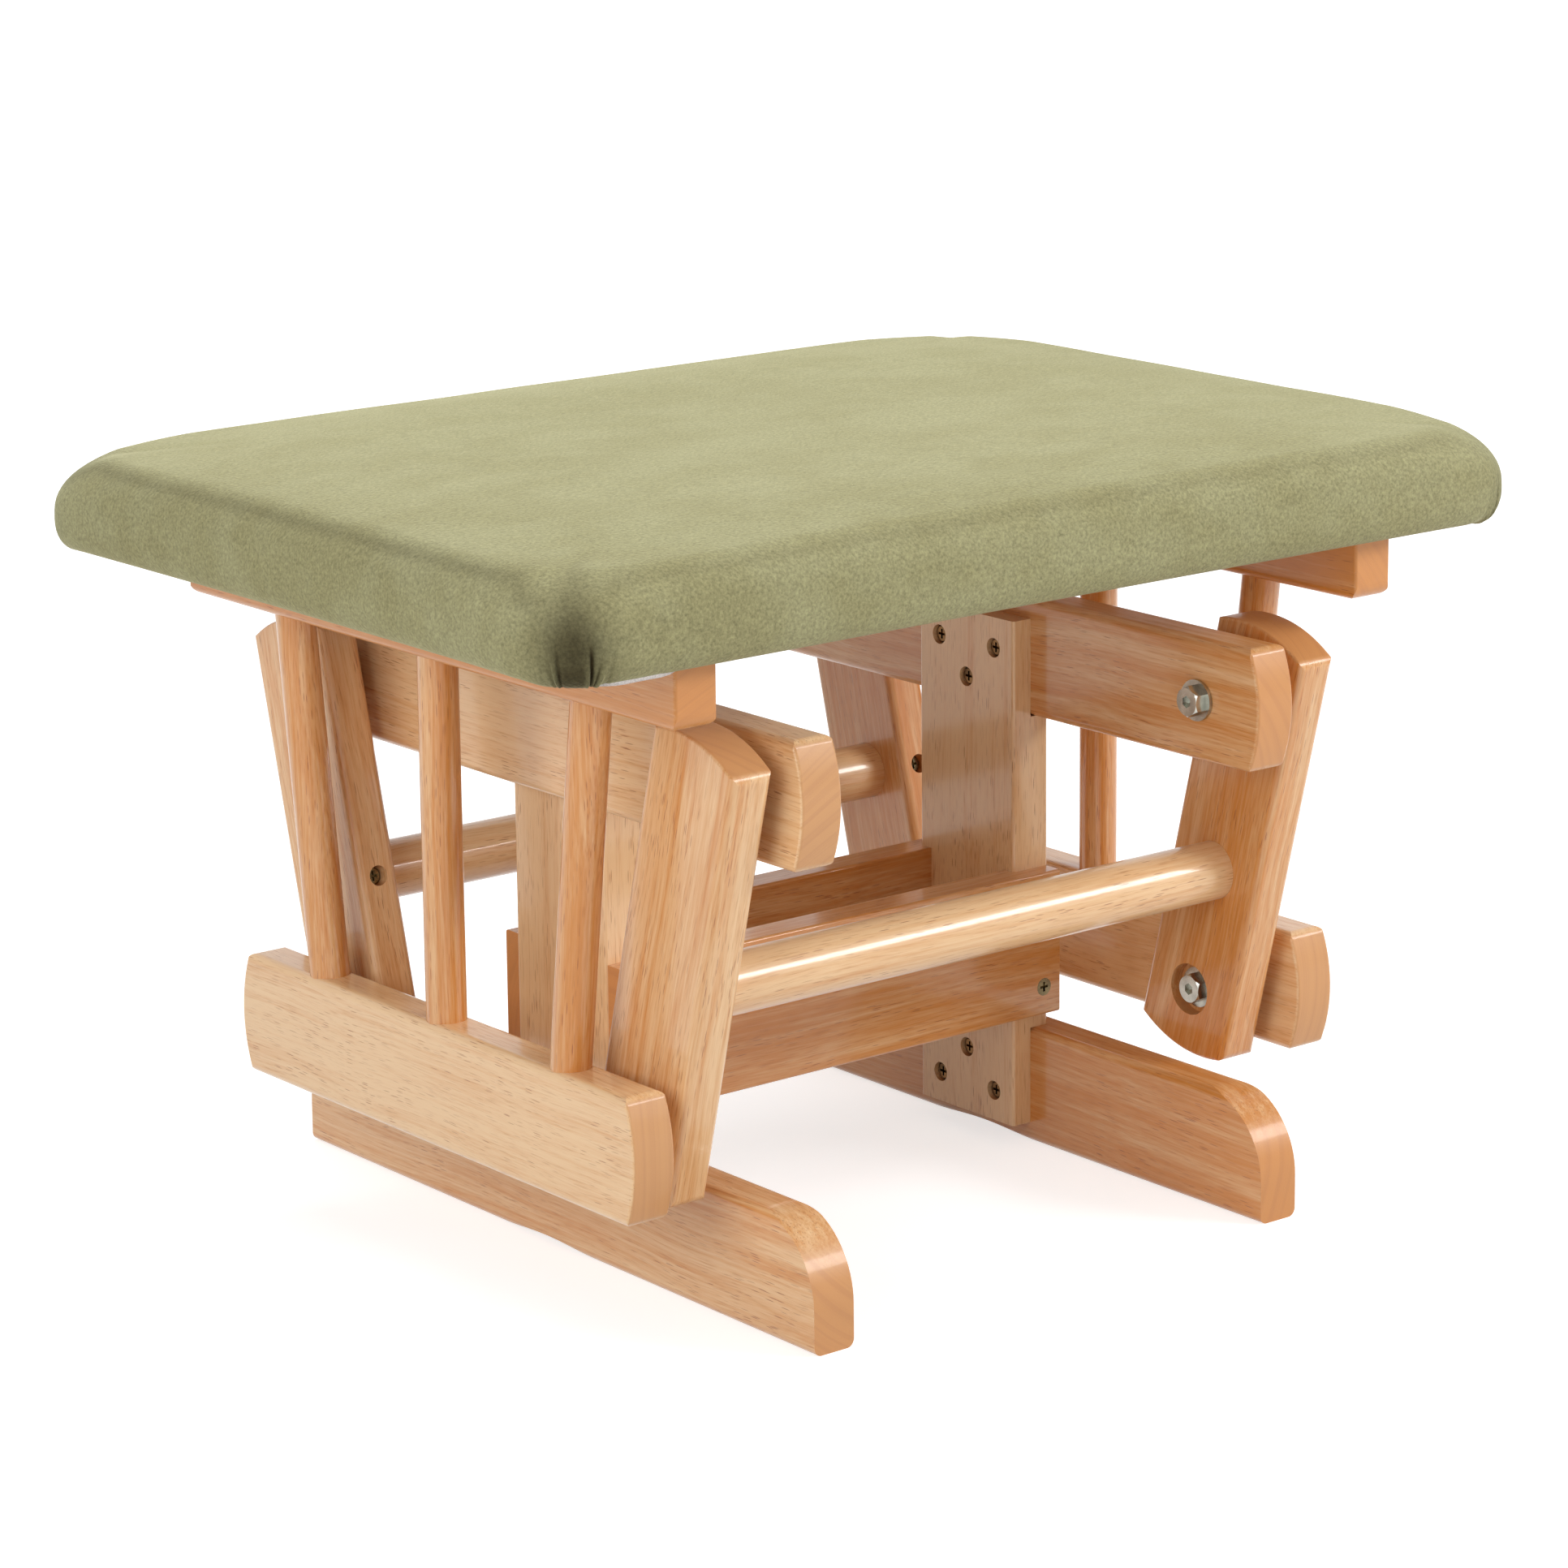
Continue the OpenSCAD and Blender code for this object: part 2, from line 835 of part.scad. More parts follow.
module cross_bar(end)
{
    color(pale_wood)
        at_end(end)
            difference() {
                translate([0, bar_y, bar_z])
                    along_x(-bar_l / 2, bar_l, bar_d);
                for (side = [LEFT, RIGHT])
                    on_side(side)
                        at_bar_screw()
                            screw_hole(bar_screw_l, false, 0);
            }
}

module bar_screws(end)
{
    color(bronzed_steel)
        for (side = [LEFT, RIGHT])
            on_side(side)
                at_end(end)
                    at_bar_screw()
                        wood_screw(bar_screw_l, false);
}

// Seat frame

function spindle_foot(place) = [rail_mid_x, place * spindle_foot_y, lower_rail_top];
function spindle_top(place) = [rail_mid_x, place * spindle_top_y, upper_rail_z];

// A round bar on a spindle's axis, reaching past the rails' edges by foot and top
module on_spindle(place, d, foot, top)
{
    low = spindle_foot(place);
    rise = spindle_top(place) - low;
    translate(low)
        rotate([-atan2(rise[1], rise[2]), 0, 0])
            translate([0, 0, -foot])
                cylinder(h = norm(rise) + foot + top, d = d);
}

module spindle_sockets()
{
    reach = spindle_socket_d + seat_fit;
    for (place = [FRONT, MIDDLE, REAR])
        on_spindle(place, spindle_d + 2 * seat_fit, reach, reach);
}

module lower_rail(side)
{
    pocket_l = insert_l + turn_gap;
    color(pale_wood)
        on_side(side)
            difference() {
                translate([rail_mid_x, 0, lower_rail_z + board_w / 2])
                    arched_board(lower_rail_l, board_w, board_t);
                spindle_sockets();
                at_end(FRONT)
                    at_lower_pivot()
                        along_x(rail_in_x - cut, insert_l + seat_fit + cut, insert_d + 2 * seat_fit);
                at_lower_pivot() {
                    along_x(rail_in_x - cut, pocket_l + cut, insert_d + 2 * open_pivot_z);
                    translate([0, open_pivot_y, 0])
                        along_x(rail_in_x - cut, pocket_l + cut, insert_d + 2 * open_pivot_z);
                    translate([rail_in_x - cut, 0, -insert_d / 2 - open_pivot_z])
                        cube([pocket_l + cut, open_pivot_y, insert_d + 2 * open_pivot_z]);
                }
            }
}

// The outline of an upper rail: straight ends with rounded lower corners
module upper_rail_outline()
{
    corner_y = upper_rail_l / 2 - upper_rail_corner_r;
    translate([-upper_rail_l / 2, upper_rail_corner_r])
        square([upper_rail_l, upper_rail_w - upper_rail_corner_r]);
    translate([-corner_y, 0])
        square([2 * corner_y, upper_rail_w]);
    for (s = [-1, 1])
        translate([s * corner_y, upper_rail_corner_r])
            circle(upper_rail_corner_r);
}

module upper_rail_body()
{
    intersection() {
        across(board_t)
            upper_rail_outline();
        translate([0, 0, upper_rail_w / 2])
            eased_plank(upper_rail_l + 2 * cut, upper_rail_w, board_t);
        translate([0, 0, -cut])
            linear_extrude(upper_rail_w + 2 * cut)
                eased_rect(board_t, upper_rail_l, small_ease);
    }
}

module upper_rail(side)
{
    color(pale_wood)
        on_side(side)
            difference() {
                translate([rail_mid_x, 0, upper_rail_z])
                    upper_rail_body();
                spindle_sockets();
                at_cushion_screws()
                    screw_hole(cushion_screw_l, false, cushion_screw_depth);
            }
}

module spindle(side, place)
{
    color(pale_wood)
        on_side(side)
            on_spindle(place, spindle_d, spindle_socket_d, spindle_socket_d);
}

module cushion_screws()
{
    color(zinc)
        for (side = [LEFT, RIGHT])
            on_side(side)
                at_cushion_screws()
                    wood_screw(cushion_screw_l, false);
}

// Cushion

// Places round a quarter corner, and rings of the upper and lower edges
corner_steps = 7;
edge_steps = 4;
// Sizes of the rings over the crowned top, as shares of the outermost one
crown_ring_shares = [0.82, 0.56, 0.28];

// Points of a rounded rectangle, counted round from +X
function plan_loop(half_x, half_y, r) = [
    for (quarter = [0:3], i = [0:corner_steps])
        let (a = 90 * (quarter + i / corner_steps),
             sx = quarter == 0 || quarter == 3 ? 1 : -1,
             sy = quarter < 2 ? 1 : -1)
            [sx * (half_x - r) + r * cos(a), sy * (half_y - r) + r * sin(a)]
];

// The same points with each side drawn in between its corners
function drawn_loop(half_x, half_y, r) = [
    for (p = plan_loop(half_x, half_y, r))
        [p[0] - side_draw * (p[0] / half_x) * (1 - pow(p[1] / half_y, 2)),
         p[1] - side_draw * (p[1] / half_y) * (1 - pow(p[0] / half_x, 2))]
];

function at_height(loop, z) = [for (p = loop) [p[0], p[1], z]];

function inset_loop(d) =
    drawn_loop(cushion_w / 2 - d, cushion_l / 2 - d, cushion_corner_r - min(d, cushion_corner_r / 2));

// Rings of the cushion's form, set in by d from the outer form, between two heights
function cushion_rings(d, low_z, high_z) =
    let (low_r = low_edge_r, top_r = top_edge_r, rim_z = high_z - crown_h, rim = inset_loop(d + top_r))
    concat(
        [for (i = [0:edge_steps])
            let (a = 90 * i / edge_steps)
                at_height(inset_loop(d + low_r * (1 - sin(a))), low_z + low_r * (1 - cos(a)))],
        [for (i = [0:edge_steps])
            let (a = 90 * i / edge_steps)
                at_height(inset_loop(d + top_r * (1 - cos(a))), rim_z - top_r * (1 - sin(a)))],
        [for (s = crown_ring_shares)
            [for (p = rim) [s * p[0], s * p[1], rim_z + crown_h * (1 - s * s)]]]
    );

module cushion_form(d, low_z, high_z)
{
    rings = cushion_rings(d, low_z, high_z);
    n = len(rings[0]);
    last = len(rings) - 1;
    points = concat([[0, 0, low_z]], [for (ring = rings) each ring], [[0, 0, high_z]]);
    top_point = len(points) - 1;
    bottom_faces = [for (i = [0:n - 1]) [0, 1 + i, 1 + (i + 1) % n]];
    side_faces = [
        for (k = [0:last - 1], i = [0:n - 1], half = [0, 1])
            let (a = 1 + k * n + i, b = 1 + k * n + (i + 1) % n)
                half == 0 ? [a, a + n, b] : [b, a + n, b + n]
    ];
    top_faces = [for (i = [0:n - 1]) [top_point, 1 + last * n + (i + 1) % n, 1 + last * n + i]];
    polyhedron(points, concat(bottom_faces, side_faces, top_faces));
}

module seat_panel(inset, t)
{
    corner_r = max(cushion_corner_r - inset / 2, cushion_corner_r / 4);
    linear_extrude(t)
        eased_rect(cushion_w - 2 * inset, cushion_l - 2 * inset, corner_r);
}

module seat_board()
{
    color(plywood)
        difference() {
            translate([0, 0, seat_board_z])
                seat_panel(seat_board_inset, seat_board_t);
            for (side = [LEFT, RIGHT])
                on_side(side)
                    at_cushion_screws()
                        screw_hole(cushion_screw_l, false, 0);
        }
}

module cushion_foam()
{
    color(foam)
        intersection() {
            cushion_form(cover_t + soft_gap, hem_z, cushion_top - cover_t - soft_gap);
            translate([-cushion_w / 2, -cushion_l / 2, foam_z])
                cube([cushion_w, cushion_l, cushion_h]);
        }
}

module cushion_cover()
{
    color(velour)
        difference() {
            cushion_form(0, cushion_z, cushion_top);
            cushion_form(cover_t, cushion_z + cover_t, cushion_top - cover_t);
            translate([0, 0, cushion_z - cut])
                seat_panel(cushion_overhang - hem_gap, cover_t + 2 * cut);
        }
}

module dust_cover()
{
    color(dust_cloth)
        difference() {
            translate([0, 0, dust_z])
                seat_panel(dust_cover_inset, dust_cover_t);
            for (side = [LEFT, RIGHT])
                on_side(side)
                    at_cushion_screws()
                        screw_hole(cushion_screw_l, false, 0);
        }
}

floor_rail(LEFT);  // floor_rail_left
floor_rail(RIGHT);  // floor_rail_right
post(LEFT);  // post_left
post(RIGHT);  // post_right
hanger_rail(LEFT);  // hanger_rail_left
hanger_rail(RIGHT);  // hanger_rail_right
stretcher(FRONT);  // stretcher_front
stretcher(REAR);  // stretcher_rear
hanger_rail_screws();
floor_rail_screws();
stretcher_screws();
upper_bush(LEFT, FRONT);  // upper_bush_left_front
upper_bush(LEFT, REAR);  // upper_bush_left_rear
upper_bush(RIGHT, FRONT);  // upper_bush_right_front
upper_bush(RIGHT, REAR);  // upper_bush_right_rear
link(LEFT, FRONT);  // link_left_front
link(LEFT, REAR);  // link_left_rear
link(RIGHT, FRONT);  // link_right_front
link(RIGHT, REAR);  // link_right_rear
cross_bar(FRONT);  // cross_bar_front
cross_bar(REAR);  // cross_bar_rear
bar_screws(FRONT);  // bar_screws_front
bar_screws(REAR);  // bar_screws_rear
upper_bolts(FRONT);  // upper_bolts_front
upper_bolts(REAR);  // upper_bolts_rear
upper_inserts(FRONT);  // upper_inserts_front
upper_inserts(REAR);  // upper_inserts_rear
upper_spacer(LEFT, FRONT);  // upper_spacer_left_front
upper_spacer(LEFT, REAR);  // upper_spacer_left_rear
upper_spacer(RIGHT, FRONT);  // upper_spacer_right_front
upper_spacer(RIGHT, REAR);  // upper_spacer_right_rear
lower_bush(LEFT, FRONT);  // lower_bush_left_front
lower_bush(LEFT, REAR);  // lower_bush_left_rear
lower_bush(RIGHT, FRONT);  // lower_bush_right_front
lower_bush(RIGHT, REAR);  // lower_bush_right_rear
lower_bolts(FRONT);  // lower_bolts_front
lower_bolts(REAR);  // lower_bolts_rear
lower_inserts(FRONT);  // lower_inserts_front
lower_inserts(REAR);  // lower_inserts_rear
lower_spacer(LEFT, FRONT);  // lower_spacer_left_front
lower_spacer(LEFT, REAR);  // lower_spacer_left_rear
lower_spacer(RIGHT, FRONT);  // lower_spacer_right_front
lower_spacer(RIGHT, REAR);  // lower_spacer_right_rear
lower_rail(LEFT);  // lower_rail_left
lower_rail(RIGHT);  // lower_rail_right
upper_rail(LEFT);  // upper_rail_left
upper_rail(RIGHT);  // upper_rail_right
spindle(LEFT, FRONT);  // spindle_left_front
spindle(LEFT, MIDDLE);  // spindle_left_middle
spindle(LEFT, REAR);  // spindle_left_rear
spindle(RIGHT, FRONT);  // spindle_right_front
spindle(RIGHT, MIDDLE);  // spindle_right_middle
spindle(RIGHT, REAR);  // spindle_right_rear
cushion_screws();
seat_board();
cushion_foam();
cushion_cover();
dust_cover();
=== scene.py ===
"""The looks of a glider ottoman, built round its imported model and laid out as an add-on."""
import json
import math

import bpy
import numpy as np
from bpy.props import FloatProperty, FloatVectorProperty, PointerProperty
from mathutils import Matrix, Vector, kdtree, noise


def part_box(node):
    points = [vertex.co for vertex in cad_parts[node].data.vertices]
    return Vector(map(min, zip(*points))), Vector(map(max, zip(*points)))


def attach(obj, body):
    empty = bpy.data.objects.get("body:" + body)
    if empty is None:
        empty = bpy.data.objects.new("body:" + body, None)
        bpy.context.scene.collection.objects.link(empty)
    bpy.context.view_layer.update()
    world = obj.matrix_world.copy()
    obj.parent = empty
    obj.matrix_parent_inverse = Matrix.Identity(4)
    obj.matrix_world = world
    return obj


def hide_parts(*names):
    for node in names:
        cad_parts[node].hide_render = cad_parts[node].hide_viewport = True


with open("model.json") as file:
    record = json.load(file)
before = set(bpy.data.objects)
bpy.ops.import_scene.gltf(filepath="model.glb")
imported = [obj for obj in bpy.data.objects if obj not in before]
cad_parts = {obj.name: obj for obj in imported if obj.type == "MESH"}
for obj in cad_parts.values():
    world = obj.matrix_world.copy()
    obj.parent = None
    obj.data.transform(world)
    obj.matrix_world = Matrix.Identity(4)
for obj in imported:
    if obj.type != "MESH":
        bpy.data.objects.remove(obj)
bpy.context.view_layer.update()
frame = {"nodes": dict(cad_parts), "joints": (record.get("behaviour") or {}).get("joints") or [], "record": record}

bl_info = {
    "name": "Glider ottoman",
    "version": (1, 0, 0),
    "blender": (4, 5, 0),
    "location": "3D View > Sidebar > Ottoman",
    "description": "Lacquers the boards, plates the hardware and upholsters the cushion",
    "category": "Object",
}

MM = 0.001
NODES = frame["nodes"]
PIVOTS = {joint["name"]: Vector(joint["pos_m"]) for joint in frame["joints"]}
ALONG_X = Vector((1, 0, 0))
ALONG_Y = Vector((0, 1, 0))
ALONG_Z = Vector((0, 0, 1))
COVER_LOW, COVER_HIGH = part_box("cushion_cover")
HALF_X = COVER_HIGH.x
HALF_Y = COVER_HIGH.y


# Sizes and colours that a user would change

def size_prop(name, description, default):
    return FloatProperty(name=name, description=description, default=default, unit="LENGTH", min=0)


def share_prop(name, description, default):
    return FloatProperty(
        name=name, description=description, default=default, min=0, max=1, subtype="FACTOR")


def colour_prop(name, description, default):
    return FloatVectorProperty(
        name=name, description=description, default=default, size=3, min=0, max=1,
        subtype="COLOR_GAMMA")


def power_prop(name, description, default):
    return FloatProperty(name=name, description=description, default=default, unit="POWER")


def angle_prop(name, description, degrees):
    return FloatProperty(
        name=name, description=description, default=math.radians(degrees), subtype="ANGLE")


class WoodSettings(bpy.types.PropertyGroup):
    pale: colour_prop("Pale wood", "Lightest tone between the growth rings", (0.935, 0.785, 0.60))
    honey: colour_prop("Honey wood", "Deeper tone of the growth rings", (0.82, 0.535, 0.255))
    pore: colour_prop("Pores", "Colour of the short dark pore lines", (0.60, 0.32, 0.18))
    end: colour_prop("End grain", "Colour of the sawn ends under the lacquer", (0.82, 0.61, 0.40))
    ring_w: size_prop("Ring width", "Usual distance from one growth ring to the next", 4.5 * MM)
    pore_l: size_prop("Pore length", "Length of the longest pore lines", 8 * MM)
    rough: share_prop("Lacquer roughness", "Roughness of the clear lacquer", 0.26)
    coat: share_prop("Lacquer", "Weight of the glossy lacquer coat", 0.60)


class VelourSettings(bpy.types.PropertyGroup):
    pile: colour_prop("Pile", "Colour of the velour's pile", (0.62, 0.605, 0.455))
    brushed: colour_prop(
        "Brushed pile", "Colour where the pile leans the other way", (0.585, 0.565, 0.41))
    # Painted shade: this dark colour stands for the shade along the cushion's top edge, in its folds and at its
    # corners, and partly for pressed-down pile
    shaded_crushed: colour_prop(
        "Crushed pile", "Colour where the pile is bent or pressed down", (0.20, 0.165, 0.088))
    pile_w: size_prop("Pile tufts", "Distance from one tuft of the pile to the next", 1.5 * MM)
    sheen: share_prop("Sheen", "Weight of the soft light that the pile catches at a glance", 0.55)
    sheen_tint: colour_prop("Sheen colour", "Colour of that soft light", (0.90, 0.89, 0.74))
    lining: colour_prop("Lining", "Colour of the lining cloth under the cushion", (0.90, 0.87, 0.85))
    lining_shade: colour_prop("Lining shade", "Darker colour in the lining", (0.84, 0.81, 0.79))


class CushionSettings(bpy.types.PropertyGroup):
    side_draw: size_prop(
        "Drawn-in sides", "How far each side is drawn in between its corners", 3 * MM)
    corner_r: size_prop("Corner radius", "Radius of the corners seen from above", 42 * MM)
    edge_side: size_prop("Side edge", "Rounding of the top edge along the sides", 17 * MM)
    edge_corner: size_prop("Corner edge", "Rounding of the top edge at the corners", 37 * MM)
    corner_drop: size_prop("Corner drop", "How far the top dips at its corners", 1.2 * MM)
    low_edge: size_prop("Lower edge", "Rounding where the cover turns under", 14 * MM)
    side_sag: size_prop(
        "Front sag", "How far the front and back edges hang below the board", 1.2 * MM)
    bunch: size_prop(
        "Bunched corners", "How far the folded cloth hangs down at the corners", 1.0 * MM)
    lean: size_prop(
        "Leaning sides", "How far the sides lean in from their fullest line up to the rim", 2.5 * MM)
    crown: size_prop("Crown", "Rise of the top from its edge to its middle", 5 * MM)
    fold_d: size_prop("Fold depth", "Depth of the tucked folds at the corners", 3 * MM)
    ripple: size_prop("Ripple", "Height of the cover's slow ripples", 0.4 * MM)
    start_share: share_prop(
        "Starting crown", "Share of the crown that the cover has before it is puffed out", 0.15)
    pressure: FloatProperty(
        name="Pressure", description="Air pressure that puffs the cover out", default=0.3, min=0)
    puff: size_prop("Puff", "Farthest that the air pressure may move the cover", 6 * MM)


class HardwareSettings(bpy.types.PropertyGroup):
    zinc: colour_prop("Zinc", "Plating of the pivot bolts and the staples", (0.80, 0.80, 0.76))
    # A darker colour given to the screws in the lap joints
    brown: colour_prop("Darkened steel", "Finish of the screws in the lap joints", (0.46, 0.33, 0.20))
    bronze: colour_prop("Bronzed steel", "Finish of the wood screws", (0.60, 0.54, 0.40))
    brass: colour_prop("Brass", "Threaded inserts", (0.80, 0.66, 0.36))
    nylon: colour_prop("Nylon", "Bushes and spacers", (0.09, 0.09, 0.09))
    staple_l: size_prop("Staple length", "Length of the staples that hold the lining", 11 * MM)
    staple_gap: size_prop("Staple spacing", "Distance from one staple to the next", 38 * MM)


class StageSettings(bpy.types.PropertyGroup):
    floor: colour_prop("Floor", "Colour of the studio floor", (0.84, 0.84, 0.84))
    lift: share_prop("Floor lift", "Light that the camera sees on the floor beside the object", 0.66)
    ambient: FloatProperty(
        name="Ambient", description="Light that comes from all round", default=0.30, min=0)
    front_w: power_prop("Front softbox", "Power of the front softbox", 10)
    strip_w: power_prop("Strip light", "Power of the bright strip on the right", 42)
    left_w: power_prop("Left softbox", "Power of the left softbox", 32)
    top_w: power_prop("Top softbox", "Power of the softbox overhead", 28)
    azimuth: angle_prop("Azimuth", "Camera's turn round the object", -38.79)
    elevation: angle_prop("Elevation", "Camera's height angle", 12.54)
    roll: angle_prop("Roll", "Camera's roll", -0.53)
    distance: size_prop("Distance", "From the camera to the point that it looks at", 2.3518)
    lens: FloatProperty(name="Lens", description="Focal length in millimetres", default=114.78, min=1)


SETTINGS = {
    "ottoman_wood": WoodSettings,
    "ottoman_velour": VelourSettings,
    "ottoman_cushion": CushionSettings,
    "ottoman_hardware": HardwareSettings,
    "ottoman_stage": StageSettings,
}


# Node trees

def linear(colour):
    """A display colour as the linear one that nodes hold."""
    parts = [c / 12.92 if c <= 0.04045 else ((c + 0.055) / 1.055) ** 2.4 for c in colour]
    return (*parts, 1.0)


def add_node(tree, kind, inputs=None, **settings):
    """Adds a node. Inputs are values or sockets to link, by the socket's name or number."""
    node = tree.nodes.new(kind)
    for name, value in settings.items():
        setattr(node, name, value)
    for name, value in (inputs or {}).items():
        if isinstance(value, bpy.types.NodeSocket):
            tree.links.new(value, node.inputs[name])
        else:
            node.inputs[name].default_value = value
    return node


def math_node(tree, operation, *values, clamp=False):
    node = add_node(
        tree, "ShaderNodeMath", dict(enumerate(values)), operation=operation, use_clamp=clamp)
    return node.outputs[0]


def vector_node(tree, operation, *values):
    node = add_node(tree, "ShaderNodeVectorMath", dict(enumerate(values)), operation=operation)
    return node.outputs["Value" if operation in {"LENGTH", "DOT_PRODUCT", "DISTANCE"} else "Vector"]


def scaled(tree, vector, factor):
    node = add_node(tree, "ShaderNodeVectorMath", {0: vector, "Scale": factor}, operation="SCALE")
    return node.outputs["Vector"]


def ramp_node(tree, value, low, high):
    """0 below low, 1 above high and smooth between; low may be above high."""
    node = add_node(
        tree, "ShaderNodeMapRange", {"Value": value, "From Min": low, "From Max": high},
        interpolation_type="SMOOTHSTEP")
    return node.outputs["Result"]


def mix_node(tree, share, first, second):
    node = add_node(tree, "ShaderNodeMix", {0: share, 6: first, 7: second}, data_type="RGBA")
    return node.outputs[2]


def weighted_sum(tree, *terms):
    """The sum of sockets, each times its weight."""
    total = math_node(tree, "MULTIPLY", *terms[0])
    for socket, weight in terms[1:]:
        node = add_node(
            tree, "ShaderNodeMath", {0: socket, 1: weight, 2: total}, operation="MULTIPLY_ADD")
        total = node.outputs[0]
    return total


def noise_node(tree, vector, scale, detail=2.0, roughness=0.5, stretch=None):
    """Noise from 0 to 1 over a vector, which stretch first divides along each axis."""
    if stretch:
        vector = vector_node(tree, "DIVIDE", vector, stretch)
    node = add_node(
        tree, "ShaderNodeTexNoise",
        {"Vector": vector, "Scale": scale, "Detail": detail, "Roughness": roughness})
    return node.outputs["Fac"]


def new_group(name, inputs, outputs):
    """A shader node group with (name, type, default) inputs and (name, type) outputs."""
    tree = bpy.data.node_groups.new(name, "ShaderNodeTree")
    for label, kind, default in inputs:
        socket = tree.interface.new_socket(label, in_out="INPUT", socket_type=kind)
        if default is not None:
            socket.default_value = default
    for label, kind in outputs:
        tree.interface.new_socket(label, in_out="OUTPUT", socket_type=kind)
    return tree, add_node(tree, "NodeGroupInput").outputs


def close_group(tree, results):
    add_node(tree, "NodeGroupOutput", results)
    return tree


COLOUR = "NodeSocketColor"
NUMBER = "NodeSocketFloat"
VECTOR = "NodeSocketVector"
PORE_W = 0.0008


def wood_figure_group():
    """Straight-grained hardwood. The board's coordinates are in metres, with its length along Z."""
    tree, given = new_group(
        "wood figure",
        [("Board", VECTOR, None), ("Face", VECTOR, None), ("Pale", COLOUR, None),
         ("Honey", COLOUR, None), ("Pore", COLOUR, None), ("End", COLOUR, None),
         ("Ring Width", NUMBER, 0.005), ("Pore Length", NUMBER, 0.008), ("Tone And Shade", NUMBER, 0.5)],
        [("Color", COLOUR), ("Roughness", NUMBER), ("Lacquer", NUMBER), ("Height", NUMBER)])
    sway_noise = add_node(
        tree, "ShaderNodeTexNoise",
        {"Vector": given["Board"], "Scale": 7.0, "Detail": 1.0}).outputs["Color"]
    sway = scaled(tree, vector_node(tree, "SUBTRACT", sway_noise, (0.5, 0.5, 0.5)), 0.010)
    place = vector_node(tree, "ADD", given["Board"], sway)
    parts = add_node(tree, "ShaderNodeSeparateXYZ", {"Vector": place}).outputs
    squares = [math_node(tree, "POWER", parts[axis], 2.0) for axis in ("X", "Y")]
    reach = math_node(tree, "SQRT", math_node(tree, "ADD", *squares))
    rings = add_node(
        tree, "ShaderNodeTexNoise",
        {"W": math_node(tree, "DIVIDE", reach, given["Ring Width"]), "Scale": 1.0,
         "Detail": 3.0, "Roughness": 0.6},
        noise_dimensions="1D").outputs["Fac"]
    bands = noise_node(tree, place, 1.0, 2.0, 0.5, (0.013, 0.013, 0.26))
    streaks = noise_node(tree, place, 1.0, 3.0, 0.62, (0.0024, 0.0024, 0.085))
    hairs = noise_node(tree, place, 1.0, 2.0, 0.6, (0.0007, 0.0007, 0.016))
    figure = weighted_sum(
        tree, (bands, 0.30), (streaks, 0.36), (rings, 0.16), (hairs, 0.18), (given["Tone And Shade"], 0.35))
    wood = mix_node(tree, ramp_node(tree, figure, 0.50, 0.86), given["Pale"], given["Honey"])

    cell = add_node(tree, "ShaderNodeCombineXYZ", {
        "X": PORE_W, "Y": PORE_W,
        "Z": math_node(tree, "MULTIPLY", given["Pore Length"], 1.5)}).outputs[0]
    dots = add_node(
        tree, "ShaderNodeTexVoronoi",
        {"Vector": vector_node(tree, "DIVIDE", place, cell), "Scale": 1.0, "Randomness": 1.0}).outputs
    chance = add_node(tree, "ShaderNodeSeparateColor", {"Color": dots["Color"]}).outputs[0]
    crowd = noise_node(tree, place, 1.0, 1.0, 0.5, (0.009, 0.009, 0.07))
    kept = math_node(
        tree, "MULTIPLY", ramp_node(tree, chance, 0.15, 0.90), ramp_node(tree, crowd, 0.30, 0.62))
    pores = math_node(tree, "MULTIPLY", ramp_node(tree, dots["Distance"], 0.34, 0.18), kept)
    flecks = ramp_node(tree, hairs, 0.54, 0.74)
    dark = weighted_sum(tree, (pores, 0.70), (flecks, 0.22))
    wood = mix_node(tree, dark, wood, given["Pore"])

    across = math_node(tree, "ABSOLUTE", add_node(
        tree, "ShaderNodeSeparateXYZ", {"Vector": given["Face"]}).outputs["Z"])
    lines = math_node(tree, "MULTIPLY", ramp_node(tree, rings, 0.40, 0.70), 0.14)
    sawn = mix_node(tree, given["Tone And Shade"], given["End"], given["Honey"])
    sawn = mix_node(tree, lines, sawn, given["Pore"])
    # Painted reflection: a little white in the sawn ends stands in for the lacquer's reflection of the white
    # studio, which their thinner coat lacks
    sawn = mix_node(tree, 0.03, sawn, (1, 1, 1, 1))
    at_end = ramp_node(tree, across, 0.55, 0.95)
    wood = mix_node(tree, at_end, wood, sawn)

    rough = weighted_sum(tree, (dark, 0.16), (streaks, 0.10), (at_end, 0.06))
    # The sawn ends soak up some of the lacquer
    lacquer = math_node(tree, "MULTIPLY_ADD", ramp_node(tree, across, 0.75, 0.25), 0.65, 0.35)
    height = math_node(tree, "SUBTRACT", math_node(tree, "MULTIPLY", hairs, 0.25), dark)
    return close_group(
        tree, {"Color": wood, "Roughness": rough, "Lacquer": lacquer, "Height": height})


